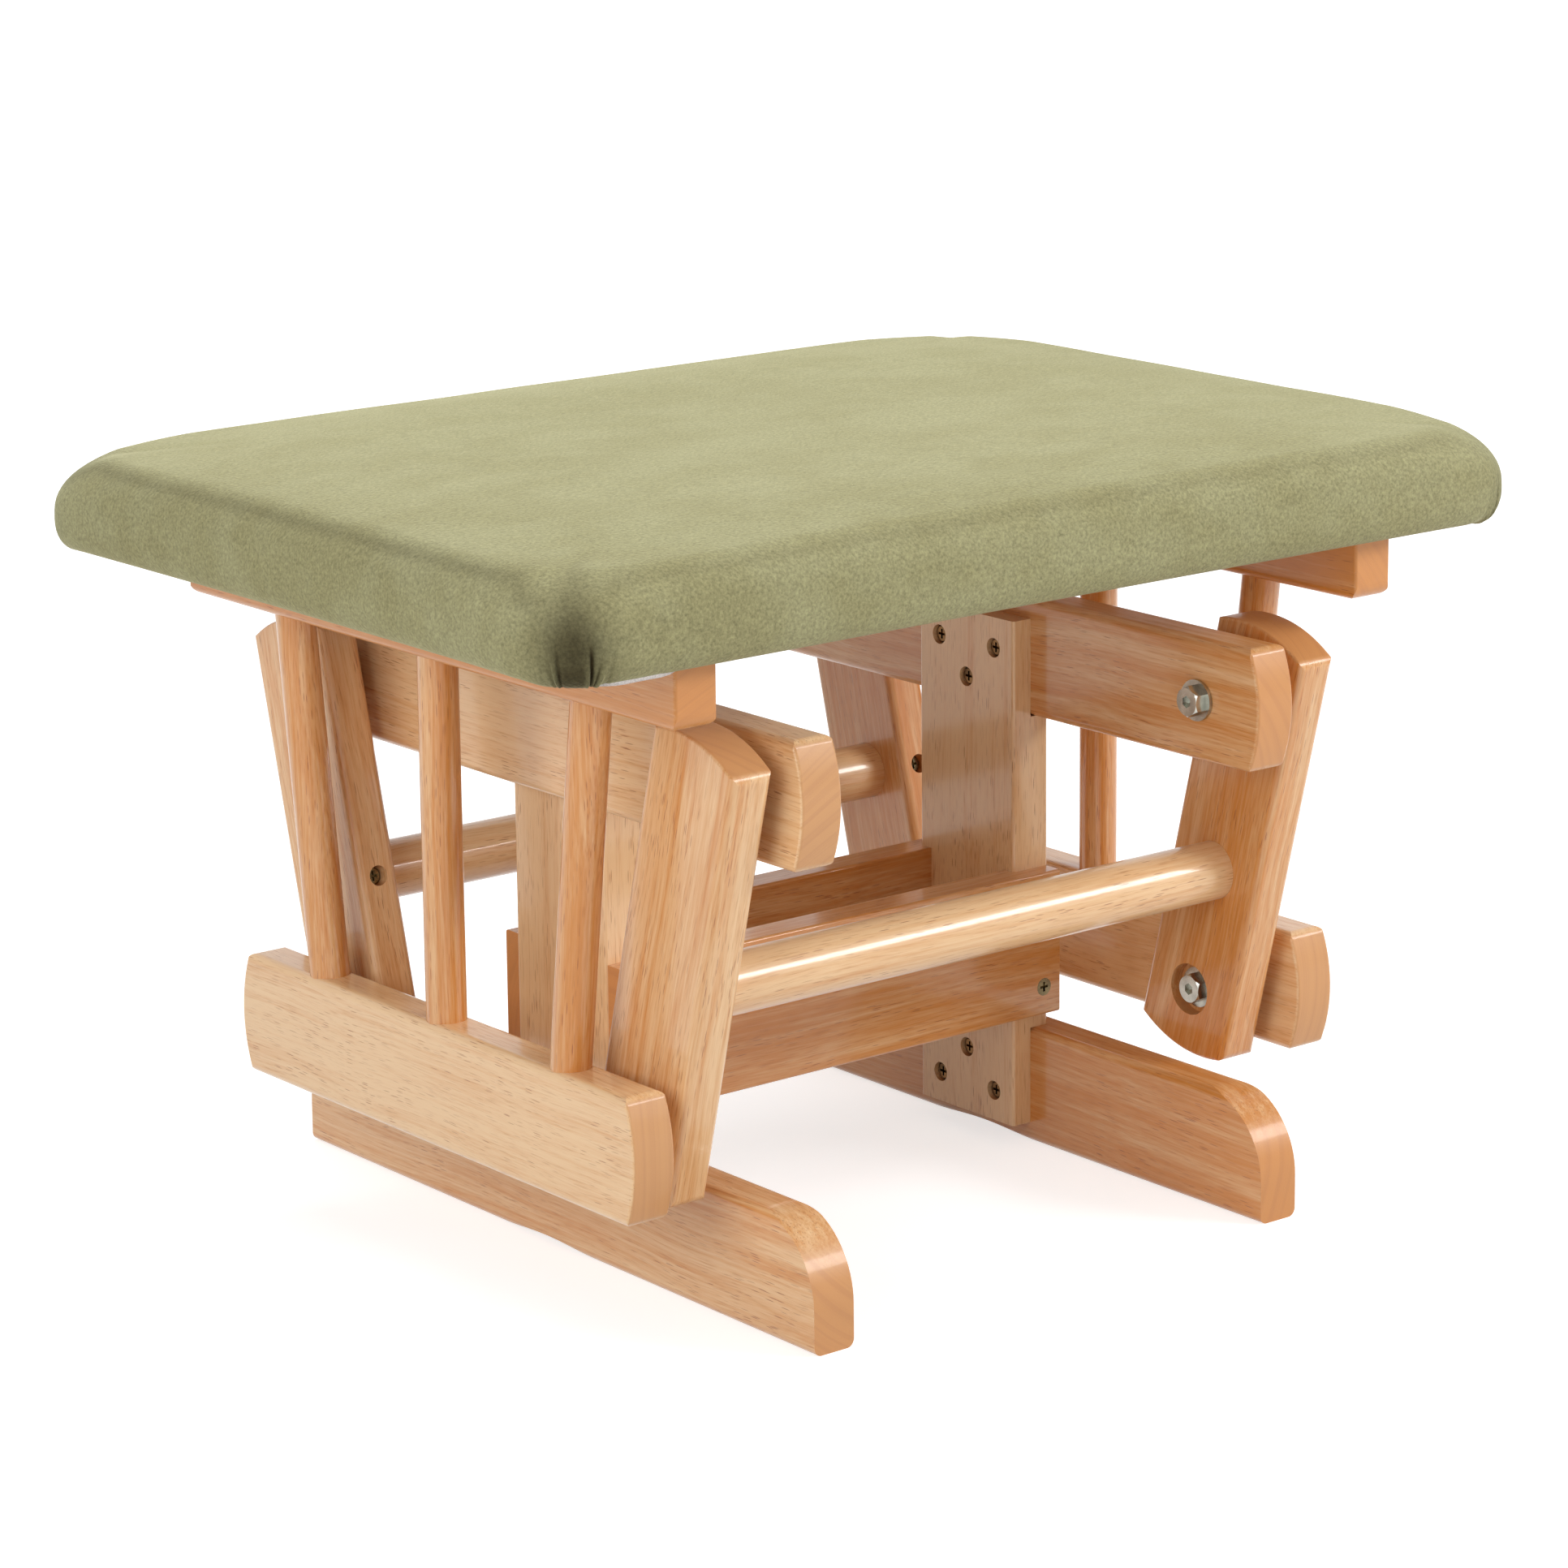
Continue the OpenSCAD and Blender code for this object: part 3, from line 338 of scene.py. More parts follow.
def velour_pile_group():
    """Short pile that leans one way and the other in soft patches."""
    tree, given = new_group(
        "velour pile",
        [("Place", VECTOR, None), ("Pile", COLOUR, None), ("Brushed", COLOUR, None),
         ("Shaded Crushed", COLOUR, None), ("Shade Crush", NUMBER, 0.0), ("Tuft", NUMBER, 0.001)],
        [("Color", COLOUR), ("Height", NUMBER)])
    tuft = given["Tuft"]
    cell = add_node(tree, "ShaderNodeCombineXYZ", {"X": tuft, "Y": tuft, "Z": tuft}).outputs[0]
    tufts = vector_node(tree, "DIVIDE", given["Place"], cell)
    pile = noise_node(tree, tufts, 1.0, 1.5, 0.7)
    patches = noise_node(tree, given["Place"], 16.0, 4.0, 0.6)
    clouds = noise_node(tree, given["Place"], 45.0, 3.0, 0.55, (2.2, 1.0, 1.0))
    lean = weighted_sum(tree, (patches, 0.65), (clouds, 0.35))
    colour = mix_node(tree, ramp_node(tree, lean, 0.38, 0.62), given["Brushed"], given["Pile"])
    # Painted shade: the shade colour is mixed in where the cushion's shade attribute is high
    shade_crush = math_node(tree, "MULTIPLY", given["Shade Crush"], math_node(
        tree, "ADD", math_node(tree, "MULTIPLY", clouds, 0.6), 0.7), clamp=True)
    colour = mix_node(tree, shade_crush, colour, given["Shaded Crushed"])
    shade = math_node(tree, "ADD", math_node(tree, "MULTIPLY", pile, 1.1), 0.45)
    return close_group(tree, {"Color": scaled(tree, colour, shade), "Height": pile})


def handled_metal_group():
    """Plated metal that is slightly clouded and finely scuffed."""
    tree, given = new_group(
        "handled metal",
        [("Place", VECTOR, None), ("Plating", COLOUR, None), ("Dull", COLOUR, None),
         ("Polish", NUMBER, 0.3)],
        [("Color", COLOUR), ("Roughness", NUMBER), ("Height", NUMBER)])
    clouds = noise_node(tree, given["Place"], 120.0, 2.0, 0.5)
    scuffs = noise_node(tree, given["Place"], 1500.0, 2.0, 0.7)
    colour = mix_node(tree, ramp_node(tree, clouds, 0.35, 0.70), given["Plating"], given["Dull"])
    rough = math_node(tree, "ADD", given["Polish"], math_node(tree, "MULTIPLY", scuffs, 0.12))
    return close_group(tree, {"Color": colour, "Roughness": rough, "Height": scuffs})


def shared_group(name, build):
    return bpy.data.node_groups.get(name) or build()


def new_material(name, **numbers):
    """A material with one Principled shader, whose uniform numbers are set on its own sockets."""
    material = bpy.data.materials.new(name)
    material.use_nodes = True
    shader = material.node_tree.nodes["Principled BSDF"]
    for socket, value in numbers.items():
        shader.inputs[socket.replace("_", " ")].default_value = value
    return material, material.node_tree, shader


def place_group(tree, group, values):
    return add_node(tree, "ShaderNodeGroup", values, node_tree=group).outputs


def join_bump(tree, shader, height, depth, strength):
    bump = add_node(tree, "ShaderNodeBump", {"Height": height, "Distance": depth, "Strength": strength})
    tree.links.new(bump.outputs["Normal"], shader.inputs["Normal"])


def wood_material(name, along, number, tone):
    """Lacquered wood for one board, whose number picks the place in the log that it is cut from."""
    look = bpy.context.scene.ottoman_wood
    material, tree, shader = new_material(
        "wood " + name, Specular_IOR_Level=0.3, Coat_Roughness=look.rough * 0.45)
    turn = along.rotation_difference(ALONG_Z).to_euler()
    # Where the log's middle lies beside the board, and how far along the log the board was cut
    pith = Vector((0.055 + 0.011 * (number % 5), 0.035 + 0.013 * (number % 7), 0.37 * number))
    given = add_node(tree, "ShaderNodeTexCoord").outputs
    board = add_node(
        tree, "ShaderNodeMapping",
        {"Vector": given["Object"], "Rotation": turn, "Location": pith}).outputs[0]
    face = add_node(tree, "ShaderNodeMapping", {"Vector": given["Normal"], "Rotation": turn}).outputs[0]
    wood = place_group(tree, shared_group("wood figure", wood_figure_group), {
        "Board": board, "Face": face, "Pale": linear(look.pale), "Honey": linear(look.honey),
        "Pore": linear(look.pore), "End": linear(look.end), "Ring Width": look.ring_w,
        "Pore Length": look.pore_l, "Tone And Shade": tone})
    tree.links.new(wood["Color"], shader.inputs["Base Color"])
    rough = math_node(tree, "ADD", wood["Roughness"], look.rough)
    tree.links.new(rough, shader.inputs["Roughness"])
    coat = math_node(tree, "MULTIPLY", wood["Lacquer"], look.coat)
    tree.links.new(coat, shader.inputs["Coat Weight"])
    join_bump(tree, shader, wood["Height"], 0.00012, 0.5)
    return material


def handled_material(name, colour, dull_share, polish, metallic=1.0):
    """Plated metal, or smooth nylon where it isn't metallic."""
    material, tree, shader = new_material(name, Metallic=metallic)
    place = add_node(tree, "ShaderNodeTexCoord").outputs["Object"]
    dull = [c * dull_share for c in colour]
    surface = place_group(tree, shared_group("handled metal", handled_metal_group), {
        "Place": place, "Plating": linear(colour), "Dull": linear(dull), "Polish": polish})
    tree.links.new(surface["Color"], shader.inputs["Base Color"])
    tree.links.new(surface["Roughness"], shader.inputs["Roughness"])
    if metallic:
        join_bump(tree, shader, surface["Height"], 0.00003, 0.3)
    return material


def velour_material():
    look = bpy.context.scene.ottoman_velour
    material, tree, shader = new_material(
        "sage velour", Roughness=0.95, Sheen_Weight=look.sheen, Sheen_Roughness=0.35,
        Sheen_Tint=linear(look.sheen_tint), Specular_IOR_Level=0.15)
    place = add_node(tree, "ShaderNodeTexCoord").outputs["Object"]
    # The painted shade, partly for pressed-down pile, read from the cushion's point attribute
    shade_crush = add_node(tree, "ShaderNodeAttribute", attribute_name="shaded_crushed_pile").outputs["Fac"]
    velour = place_group(tree, shared_group("velour pile", velour_pile_group), {
        "Place": place, "Pile": linear(look.pile), "Brushed": linear(look.brushed),
        "Shaded Crushed": linear(look.shaded_crushed), "Shade Crush": shade_crush, "Tuft": look.pile_w})
    tree.links.new(velour["Color"], shader.inputs["Base Color"])
    join_bump(tree, shader, velour["Height"], 0.0007, 0.55)
    return material


def lining_material():
    """Plain thin cloth."""
    look = bpy.context.scene.ottoman_velour
    material, tree, shader = new_material("lining cloth", Roughness=0.9, Specular_IOR_Level=0.2)
    place = add_node(tree, "ShaderNodeTexCoord").outputs["Object"]
    cloth = place_group(tree, shared_group("velour pile", velour_pile_group), {
        "Place": place, "Pile": linear(look.lining), "Brushed": linear(look.lining_shade),
        "Shaded Crushed": linear(look.lining_shade), "Tuft": 0.6 * MM})
    tree.links.new(cloth["Color"], shader.inputs["Base Color"])
    join_bump(tree, shader, cloth["Height"], 0.0002, 0.4)
    return material


def paint(node, material):
    """Gives every slot of a CAD node the one material."""
    for slot in NODES[node].material_slots:
        slot.material = material


# The cushion's form

# Distance from column to column along a side, and the steps round each quarter turn of a corner
SIDE_STEP = 6 * MM
COVER_STEPS = 120
LINING_STEPS = 24
COARSE_STEPS = 12
# The folds and the painted shade on the pile are full at the front left corner and weaker at the others
OTHER_FOLDS = 0.5
OTHER_SHADE = 0.4
# The folds run on under the cushion, less deep
UNDER_FOLDS = 0.35
# Rows round the lower edge, up the side and round the top edge, which ends just short of level
LOW_ROWS = 9
SIDE_ROWS = 8
EDGE_ROWS = 14
EDGE_END = math.pi / 2 - 0.06
# Rounds that even out the grid over the middle of the top
GRID_ROUNDS = 400
# The trial cover that the simulated air puffs out
TRIAL_CELL = 6 * MM
PUFF_FRAMES = 20
STIFFNESS = 60.0
SMOOTHING_ROUNDS = 60
NEAR_POINTS = 12


def smooth_share(value, low, high):
    """0 up to low, 1 from high on and smooth between."""
    t = min(max((value - low) / (high - low), 0), 1)
    return t * t * (3 - 2 * t)


def blend(low, high, share):
    return low + (high - low) * share


class Column:
    """A place on the cushion's plan: its point, the way out from it and how near a corner it is."""

    def __init__(self, x, y, out_x, out_y, turn, coarse):
        self.x = x
        self.y = y
        self.out_x = out_x
        self.out_y = out_y
        self.turn = turn
        self.coarse = coarse
        self.front_left = x < 0 and y < 0
        self.corner = 1 - smooth_share(math.hypot(HALF_X - abs(x), HALF_Y - abs(y)), 0, 85 * MM)
        self.bow = abs(out_x) * (1 - (y / HALF_Y) ** 2) + abs(out_y) * (1 - (x / HALF_X) ** 2)

    def at(self, inset, z):
        return Vector((self.x - self.out_x * inset, self.y - self.out_y * inset, z))


def cushion_columns(radius, corner_steps):
    """Columns round the plan. At a corner, turn is the angle in degrees from its middle."""
    flat_x = HALF_X - radius
    flat_y = HALF_Y - radius
    columns = []
    for quarter in range(4):
        middle_x = flat_x if quarter in (0, 3) else -flat_x
        middle_y = flat_y if quarter < 2 else -flat_y
        toward_front = -1 if quarter in (1, 3) else 1
        for step in range(corner_steps + 1):
            angle = math.pi / 2 * (quarter + step / corner_steps)
            out_x = math.cos(angle)
            out_y = math.sin(angle)
            turn = toward_front * (90 * step / corner_steps - 45)
            coarse = step % (corner_steps // COARSE_STEPS) == 0
            x = middle_x + radius * out_x
            y = middle_y + radius * out_y
            columns.append(Column(x, y, out_x, out_y, turn, coarse))
        length = 2 * (flat_y if quarter in (1, 3) else flat_x)
        count = round(length / SIDE_STEP)
        last = columns[-1]
        for step in range(1, count):
            gone = length * step / count
            x = last.x - last.out_y * gone
            y = last.y + last.out_x * gone
            columns.append(Column(x, y, last.out_x, last.out_y, None, True))
    return columns


class Fold:
    """A fold tucked under a corner, at an angle in degrees from the corner's middle."""

    def __init__(self, foot, head, depth_share, width, top):
        self.foot = foot
        self.head = head
        self.depth_share = depth_share
        self.width = width
        self.top = top

    def pull(self, turn, height):
        """How much of the fold's depth the cover is pulled in at an angle and a height."""
        up = min(height / self.top, 1)
        fade = (1 - up) ** 2 * (1 + 2 * up)
        off = (turn - blend(self.foot, self.head, up)) / (self.width * (0.7 + 0.8 * up))
        return self.depth_share * fade * math.exp(-off * off)


FOLDS = (
    Fold(-2.4, -6.0, -0.50, 1.0, 27 * MM),
    Fold(-0.6, -3.0, 0.45, 1.5, 24 * MM),
    Fold(-5.6, -11.0, -0.30, 1.1, 15 * MM),
    Fold(-4.2, -8.5, 0.22, 1.0, 15 * MM),
    Fold(18.6, 17.4, 1.00, 1.2, 23 * MM),
    Fold(20.6, 24.5, 0.70, 1.1, 15 * MM),
    Fold(16.2, 14.5, -0.35, 1.3, 20 * MM),
    Fold(22.8, 28.0, -0.45, 1.5, 16 * MM),
    Fold(29.5, 31.0, 0.25, 1.6, 18 * MM),
)


def grid_lid(rim, across):
    """Plan of an even grid inside a loop of points, whose first across + 1 points are its first row."""
    count = len(rim)
    deep = count // 2 - across
    loop = np.array([(p.x, p.y) for p in rim])
    grid = np.zeros((deep + 1, across + 1, 2))
    grid[0] = loop[:across + 1]
    grid[:, across] = loop[across:across + deep + 1]
    grid[deep] = loop[across + deep:2 * across + deep + 1][::-1]
    grid[1:, 0] = loop[2 * across + deep:][::-1]
    share = np.linspace(0, 1, across + 1)[1:-1, None]
    for row in grid[1:-1]:
        row[1:-1] = row[0] * (1 - share) + row[-1] * share
    for _ in range(GRID_ROUNDS):
        grid[1:-1, 1:-1] = (grid[:-2, 1:-1] + grid[2:, 1:-1] + grid[1:-1, :-2] + grid[1:-1, 2:]) / 4
    return grid


def mesh_object(name, points, faces, smooth=True):
    mesh = bpy.data.meshes.new(name)
    mesh.from_pydata(points, [], faces)
    mesh.validate()
    mesh.polygons.foreach_set("use_smooth", [smooth] * len(mesh.polygons))
    piece = bpy.data.objects.new(name, mesh)
    bpy.context.scene.collection.objects.link(piece)
    return piece


def ring_faces(rings, count):
    """Quads between consecutive rings of count points."""
    faces = []
    for k in range(rings - 1):
        for i in range(count):
            j = (i + 1) % count
            faces.append((k * count + i, k * count + j, (k + 1) * count + j, (k + 1) * count + i))
    return faces


def cushion_profile(shape, column, height):
    """Rows from the cushion's low edge up to its top's rim, as (inset, height above the bottom)."""
    w = column.corner
    rim = height - shape.crown - shape.corner_drop * w
    edge_in = blend(shape.edge_side, shape.edge_corner, w)
    edge_up = blend(shape.edge_side * 0.95, shape.edge_corner * 0.72, w)
    rows = []
    for step in range(LOW_ROWS + 1):
        angle = math.pi / 2 * step / LOW_ROWS
        inset = shape.low_edge * 0.75 * (1 - math.sin(angle))
        rows.append((inset, shape.low_edge * (1 - math.cos(angle))))
    side = rim - edge_up - shape.low_edge
    for step in range(1, SIDE_ROWS):
        rows.append((0, shape.low_edge + side * step / SIDE_ROWS))
    for step in range(EDGE_ROWS + 1):
        angle = EDGE_END * step / EDGE_ROWS
        rows.append((edge_in * (1 - math.cos(angle)), rim - edge_up * (1 - math.sin(angle))))
    full = shape.low_edge
    return [(inset + shape.lean * (max(z - full, 0) / (rim - full)) ** 2, z) for inset, z in rows]


def smoothed(values, mesh, rounds):
    """Values at a mesh's points, each drawn toward the mean of its neighbours' in every round."""
    edges = np.zeros(2 * len(mesh.edges), int)
    mesh.edges.foreach_get("vertices", edges)
    starts, ends = edges.reshape(-1, 2).T
    neighbours = np.bincount(edges, minlength=len(values))[:, None]
    for _ in range(rounds):
        total = np.zeros_like(values)
        np.add.at(total, starts, values[ends])
        np.add.at(total, ends, values[starts])
        values = (values + total / neighbours) / 2
    return values


def simulated_moves(shape, points, faces, held_z):
    """How far simulated air puffs out each point of a closed cover that is held below held_z."""
    scene = bpy.context.scene
    trial = mesh_object("trial_cover", points, faces)
    even = trial.modifiers.new("even", "REMESH")
    even.mode = "VOXEL"
    even.voxel_size = TRIAL_CELL
    graph = bpy.context.evaluated_depsgraph_get()
    trial.data = bpy.data.meshes.new_from_object(trial.evaluated_get(graph))
    trial.modifiers.remove(even)
    before = [v.co.copy() for v in trial.data.vertices]
    held = trial.vertex_groups.new(name="held")
    held.add([i for i, p in enumerate(before) if p.z < held_z], 1.0, "ADD")
    cloth = trial.modifiers.new("air", "CLOTH")
    cloth.settings.vertex_group_mass = held.name
    cloth.settings.use_pressure = True
    cloth.settings.uniform_pressure_force = shape.pressure
    cloth.settings.tension_stiffness = STIFFNESS
    cloth.settings.compression_stiffness = STIFFNESS
    cloth.settings.effector_weights.gravity = 0.0
    cloth.point_cache.frame_start = 1
    cloth.point_cache.frame_end = PUFF_FRAMES
    for step in range(1, PUFF_FRAMES + 1):
        scene.frame_set(step)
    puffed = trial.evaluated_get(bpy.context.evaluated_depsgraph_get()).data.vertices
    moves = np.array([v.co - p for v, p in zip(puffed, before)])
    scene.frame_set(1)
    moves = smoothed(moves, trial.data, SMOOTHING_ROUNDS)
    bpy.data.objects.remove(trial)
    tree = kdtree.KDTree(len(before))
    for i, p in enumerate(before):
        tree.insert(p, i)
    tree.balance()
    found = []
    for point in points:
        total = Vector((0, 0, 0))
        weights = 0
        for _, i, distance in tree.find_n(point, NEAR_POINTS):
            weight = 1 / (distance + 3 * MM)
            total += Vector(moves[i]) * weight
            weights += weight
        move = total / weights
        found.append(move * min(1, shape.puff / max(move.length, 1e-9)))
    return found


def crown_rise(crown, x, y):
    """Rise of the top from its rim toward its middle."""
    return crown * (1 - min(abs(x) / HALF_X, 1) ** 2.6) * (1 - min(abs(y) / HALF_Y, 1) ** 2.2)


class OTTOMAN_OT_cushion(bpy.types.Operator):
    """Upholster the cushion: crowned top, drawn-in sides and folds tucked under its corners"""
    bl_idname = "ottoman.cushion"
    bl_label = "Make the cushion"

    def execute(self, context):
        shape = context.scene.ottoman_cushion
        columns = cushion_columns(shape.corner_r, COVER_STEPS)
        points, shades, faces, rim = self.make_sides(shape, columns)
        self.make_top(shape, columns, points, shades, faces, rim)
        underside = [*range(len(columns))]
        moves = simulated_moves(shape, points, [*faces, underside], COVER_LOW.z + 2 * MM)
        points = [p + move for p, move in zip(points, moves)]
        points = [self.rippled(p, shape.ripple) for p in points]
        piece = mesh_object("cushion", points, faces)
        # The painted shade goes on the cushion as a point attribute for the velour to read
        shade = piece.data.attributes.new("shaded_crushed_pile", "FLOAT", "POINT")
        shade.data.foreach_set("value", shades)
        piece.data.materials.append(velour_material())
        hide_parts("cushion_cover", "cushion_foam")
        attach(piece, "seat")
        return {"FINISHED"}

    def make_sides(self, shape, columns):
        """The hem under the cushion, its sides and its rounded edges, up to the rim of the top."""
        bottom = COVER_LOW.z
        height = COVER_HIGH.z - bottom
        profiles = [cushion_profile(shape, column, height) for column in columns]
        points = []
        shades = []
        rows = len(profiles[0])
        for row in range(-2, rows):
            for column, profile in zip(columns, profiles):
                inset, z = profile[max(row, 0)]
                if row < 0:
                    inset = blend(inset, shape.corner_r * 0.95, -row / 2)
                pull = 0
                bunch = 0
                if column.turn is not None:
                    pull = sum(fold.pull(column.turn, z) for fold in FOLDS)
                    pull *= 1 if column.front_left else OTHER_FOLDS
                    bunch = smooth_share(column.turn, -34, -12)
                    bunch *= 1 - smooth_share(column.turn, 22, 27)
                bunch *= shape.bunch * (1 - smooth_share(z, 4 * MM, 22 * MM))
                low = shape.side_sag * (1 - smooth_share(z, 2 * MM, 20 * MM)) * abs(column.out_y)
                depth = pull * shape.fold_d * (UNDER_FOLDS if row < 0 else 1)
                shift = inset + shape.side_draw * column.bow + depth
                points.append(column.at(shift - bunch * 0.3, bottom + z - bunch - low))
                shades.append(self.pile_shade(column, height - shape.crown - z, z, pull))
        faces = ring_faces(rows + 2, len(columns))
        rim = len(points) - len(columns)
        return points, shades, faces, [rim + i for i in range(len(columns))]

    def pile_shade(self, column, below, z, pull):
        """How much painted shade the pile gets, partly for pile that is pressed down: along the top edge, in the
        folds and at a corner's middle.
        """
        # Painted shade: a dark line and a weaker band just below the top edge, darker on the left and right ends
        # than on the front and back
        at_corner = smooth_share(column.corner, 0.4, 0.8)
        line_below = blend(3.6, 10.5, at_corner) * MM
        line_w = blend(2.2, 4.5, at_corner) * MM
        line = math.exp(-((below - line_below) / line_w) ** 2)
        band = math.exp(-((below - 9 * MM) / (5 * MM)) ** 2)
        edge = (0.26 * line + 0.05 * band) * blend(1.1, 0.6, abs(column.out_y))
        corner = 0
        # Painted shade at a corner's middle: low down between the folds, and in a soft halo round it
        if column.turn is not None:
            under = smooth_share(column.turn, -12, 3) * (1 - smooth_share(column.turn, 12, 22))
            under *= 1 - smooth_share(z, 4 * MM, 34 * MM)
            halo = math.exp(-((column.turn - 7) / 22) ** 2 - ((z - 14 * MM) / (24 * MM)) ** 2)
            corner = max(0.95 * under, 0.85 * halo) * (1 if column.front_left else OTHER_SHADE)
        # Painted shade in the grooves of the folds, too
        return min(max(edge, corner) + 0.8 * max(pull, 0), 1)

    def make_top(self, shape, columns, points, shades, faces, rim):
        """Rings inward from the rim, then a grid over the middle of the top."""
        coarse = [i for i, column in enumerate(columns) if column.coarse]
        count = len(coarse)
        start = len(points)
        flat = COVER_HIGH.z - shape.crown
        # The simulated air adds the rest of the crown
        crown = shape.crown * shape.start_share
        rim_points = [points[rim[i]] for i in coarse]
        steps = 9
        # The painted shade at the rim fades out over the first rings of the top
        shaded_steps = 4
        reach = 0.20
        for step in range(1, steps + 1):
            s = 1 - reach * step / steps
            fade = (1 - step / steps) ** 2
            for i, p in zip(coarse, rim_points):
                drop = flat + crown_rise(crown, p.x, p.y) - p.z
                rise = crown_rise(crown, p.x * s, p.y * s)
                points.append(Vector((p.x * s, p.y * s, flat + rise - drop * fade)))
                shades.append(shades[rim[i]] * max(0, 1 - step / shaded_steps))
        for k, i in enumerate(coarse):
            after = coarse[(k + 1) % count]
            end = after + 1 if after > i else after + 1 + len(rim)
            outer = [rim[j % len(rim)] for j in range(i, end)]
            faces.append([*outer, start + (k + 1) % count, start + k])
        faces.extend([tuple(start + v for v in face) for face in ring_faces(steps, count)])
        last = start + (steps - 1) * count
        # The grid's corners lie in line with the middles of the cushion's corners
        lead = COARSE_STEPS // 2
        loop = [last + (i + lead) % count for i in range(count)]
        across = next(
            k for k, i in enumerate(coarse)
            if columns[i].x < 0 and columns[i].turn is not None and abs(columns[i].turn) < 1) - lead
        grid = grid_lid([points[i] for i in loop], across)
        deep = len(grid) - 1
        names = {}
        for k, index in enumerate(loop):
            if k <= across:
                names[0, k] = index
            elif k <= across + deep:
                names[k - across, across] = index
            elif k <= 2 * across + deep:
                names[deep, 2 * across + deep - k] = index
            else:
                names[count - k, 0] = index
        for j in range(deep + 1):
            for i in range(across + 1):
                if (j, i) not in names:
                    x, y = grid[j, i]
                    names[j, i] = len(points)
                    points.append(Vector((x, y, flat + crown_rise(crown, x, y))))
                    shades.append(0.0)
        for j in range(deep):
            for i in range(across):
                faces.append((names[j, i], names[j, i + 1], names[j + 1, i + 1], names[j + 1, i]))

    def rippled(self, p, height):
        """Slow ripples in the cover, less under the cushion."""
        spot = p * 11
        wave = height * (noise.noise(spot) + 0.5 * noise.noise(spot * 2.3))
        share = smooth_share(p.z - COVER_LOW.z, -2 * MM, 12 * MM)
        return p + Vector((wave * p.x / HALF_X, wave * p.y / HALF_Y, wave * 0.6 * share))


# The lining's rings: inset and drop below the board, each where hidden and where it shows,
# and how far the ring follows the sag of the cushion's front and back edges
LINING_RINGS = (
    (15 * MM, 6.2 * MM, 0.1 * MM, -3.0 * MM, 1),
    (15.5 * MM, 6.8 * MM, 0.5 * MM, 0.6 * MM, 1),
    (17 * MM, 10 * MM, 0.6 * MM, 0.9 * MM, 1),
    (32 * MM, 30 * MM, 0.6 * MM, 0.6 * MM, 0.8),
    (48 * MM, 46 * MM, 0.4 * MM, 0.4 * MM, 0),
)
# Where the strip that shows begins and ends, from the cushion's left end
SHOWN_FROM = (16 * MM, 24 * MM)
SHOWN_TO = (60 * MM, 80 * MM)
STAPLE_INSET = 24 * MM
# From the middle of an upper rail
RAIL_CLEARANCE = 26 * MM


class OTTOMAN_OT_lining(bpy.types.Operator):
    """Cover the cushion's underside with pale lining cloth, whose edge shows at the front left"""
    bl_idname = "ottoman.lining"
    bl_label = "Make the lining"

    def execute(self, context):
        shape = context.scene.ottoman_cushion
        columns = cushion_columns(shape.corner_r, LINING_STEPS)
        points = []
        for inset, shown_inset, drop, shown_drop, follow in LINING_RINGS:
            for column in columns:
                shown = self.shown_share(column)
                wave = 0.7 * MM * noise.noise(Vector((column.x, column.y, 0)) * 60)
                shift = blend(inset, shown_inset, shown) + shape.side_draw * column.bow + wave
                sag = blend(drop, shown_drop, shown) + shape.side_sag * abs(column.out_y) * follow
                points.append(column.at(shift, COVER_LOW.z - sag))
        faces = ring_faces(len(LINING_RINGS), len(columns))
        last = len(points) - len(columns)
        faces.append([last + i for i in range(len(columns))])
        piece = mesh_object("lining", points, faces)
        sheet = piece.modifiers.new("cloth", "SOLIDIFY")
        sheet.thickness = 0.5 * MM
        sheet.offset = 1
        piece.data.materials.append(lining_material())
        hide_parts("dust_cover")
        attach(piece, "seat")
        return {"FINISHED"}

    def shown_share(self, column):
        """Where the lining's edge hangs below the velour: along the front next to the left corner."""
        if column.x > 0 or column.y > 0:
            return 0
        from_end = HALF_X - abs(column.x)
        return abs(column.out_y) ** 4 * smooth_share(from_end, *SHOWN_FROM) * (
            1 - smooth_share(from_end, *SHOWN_TO))


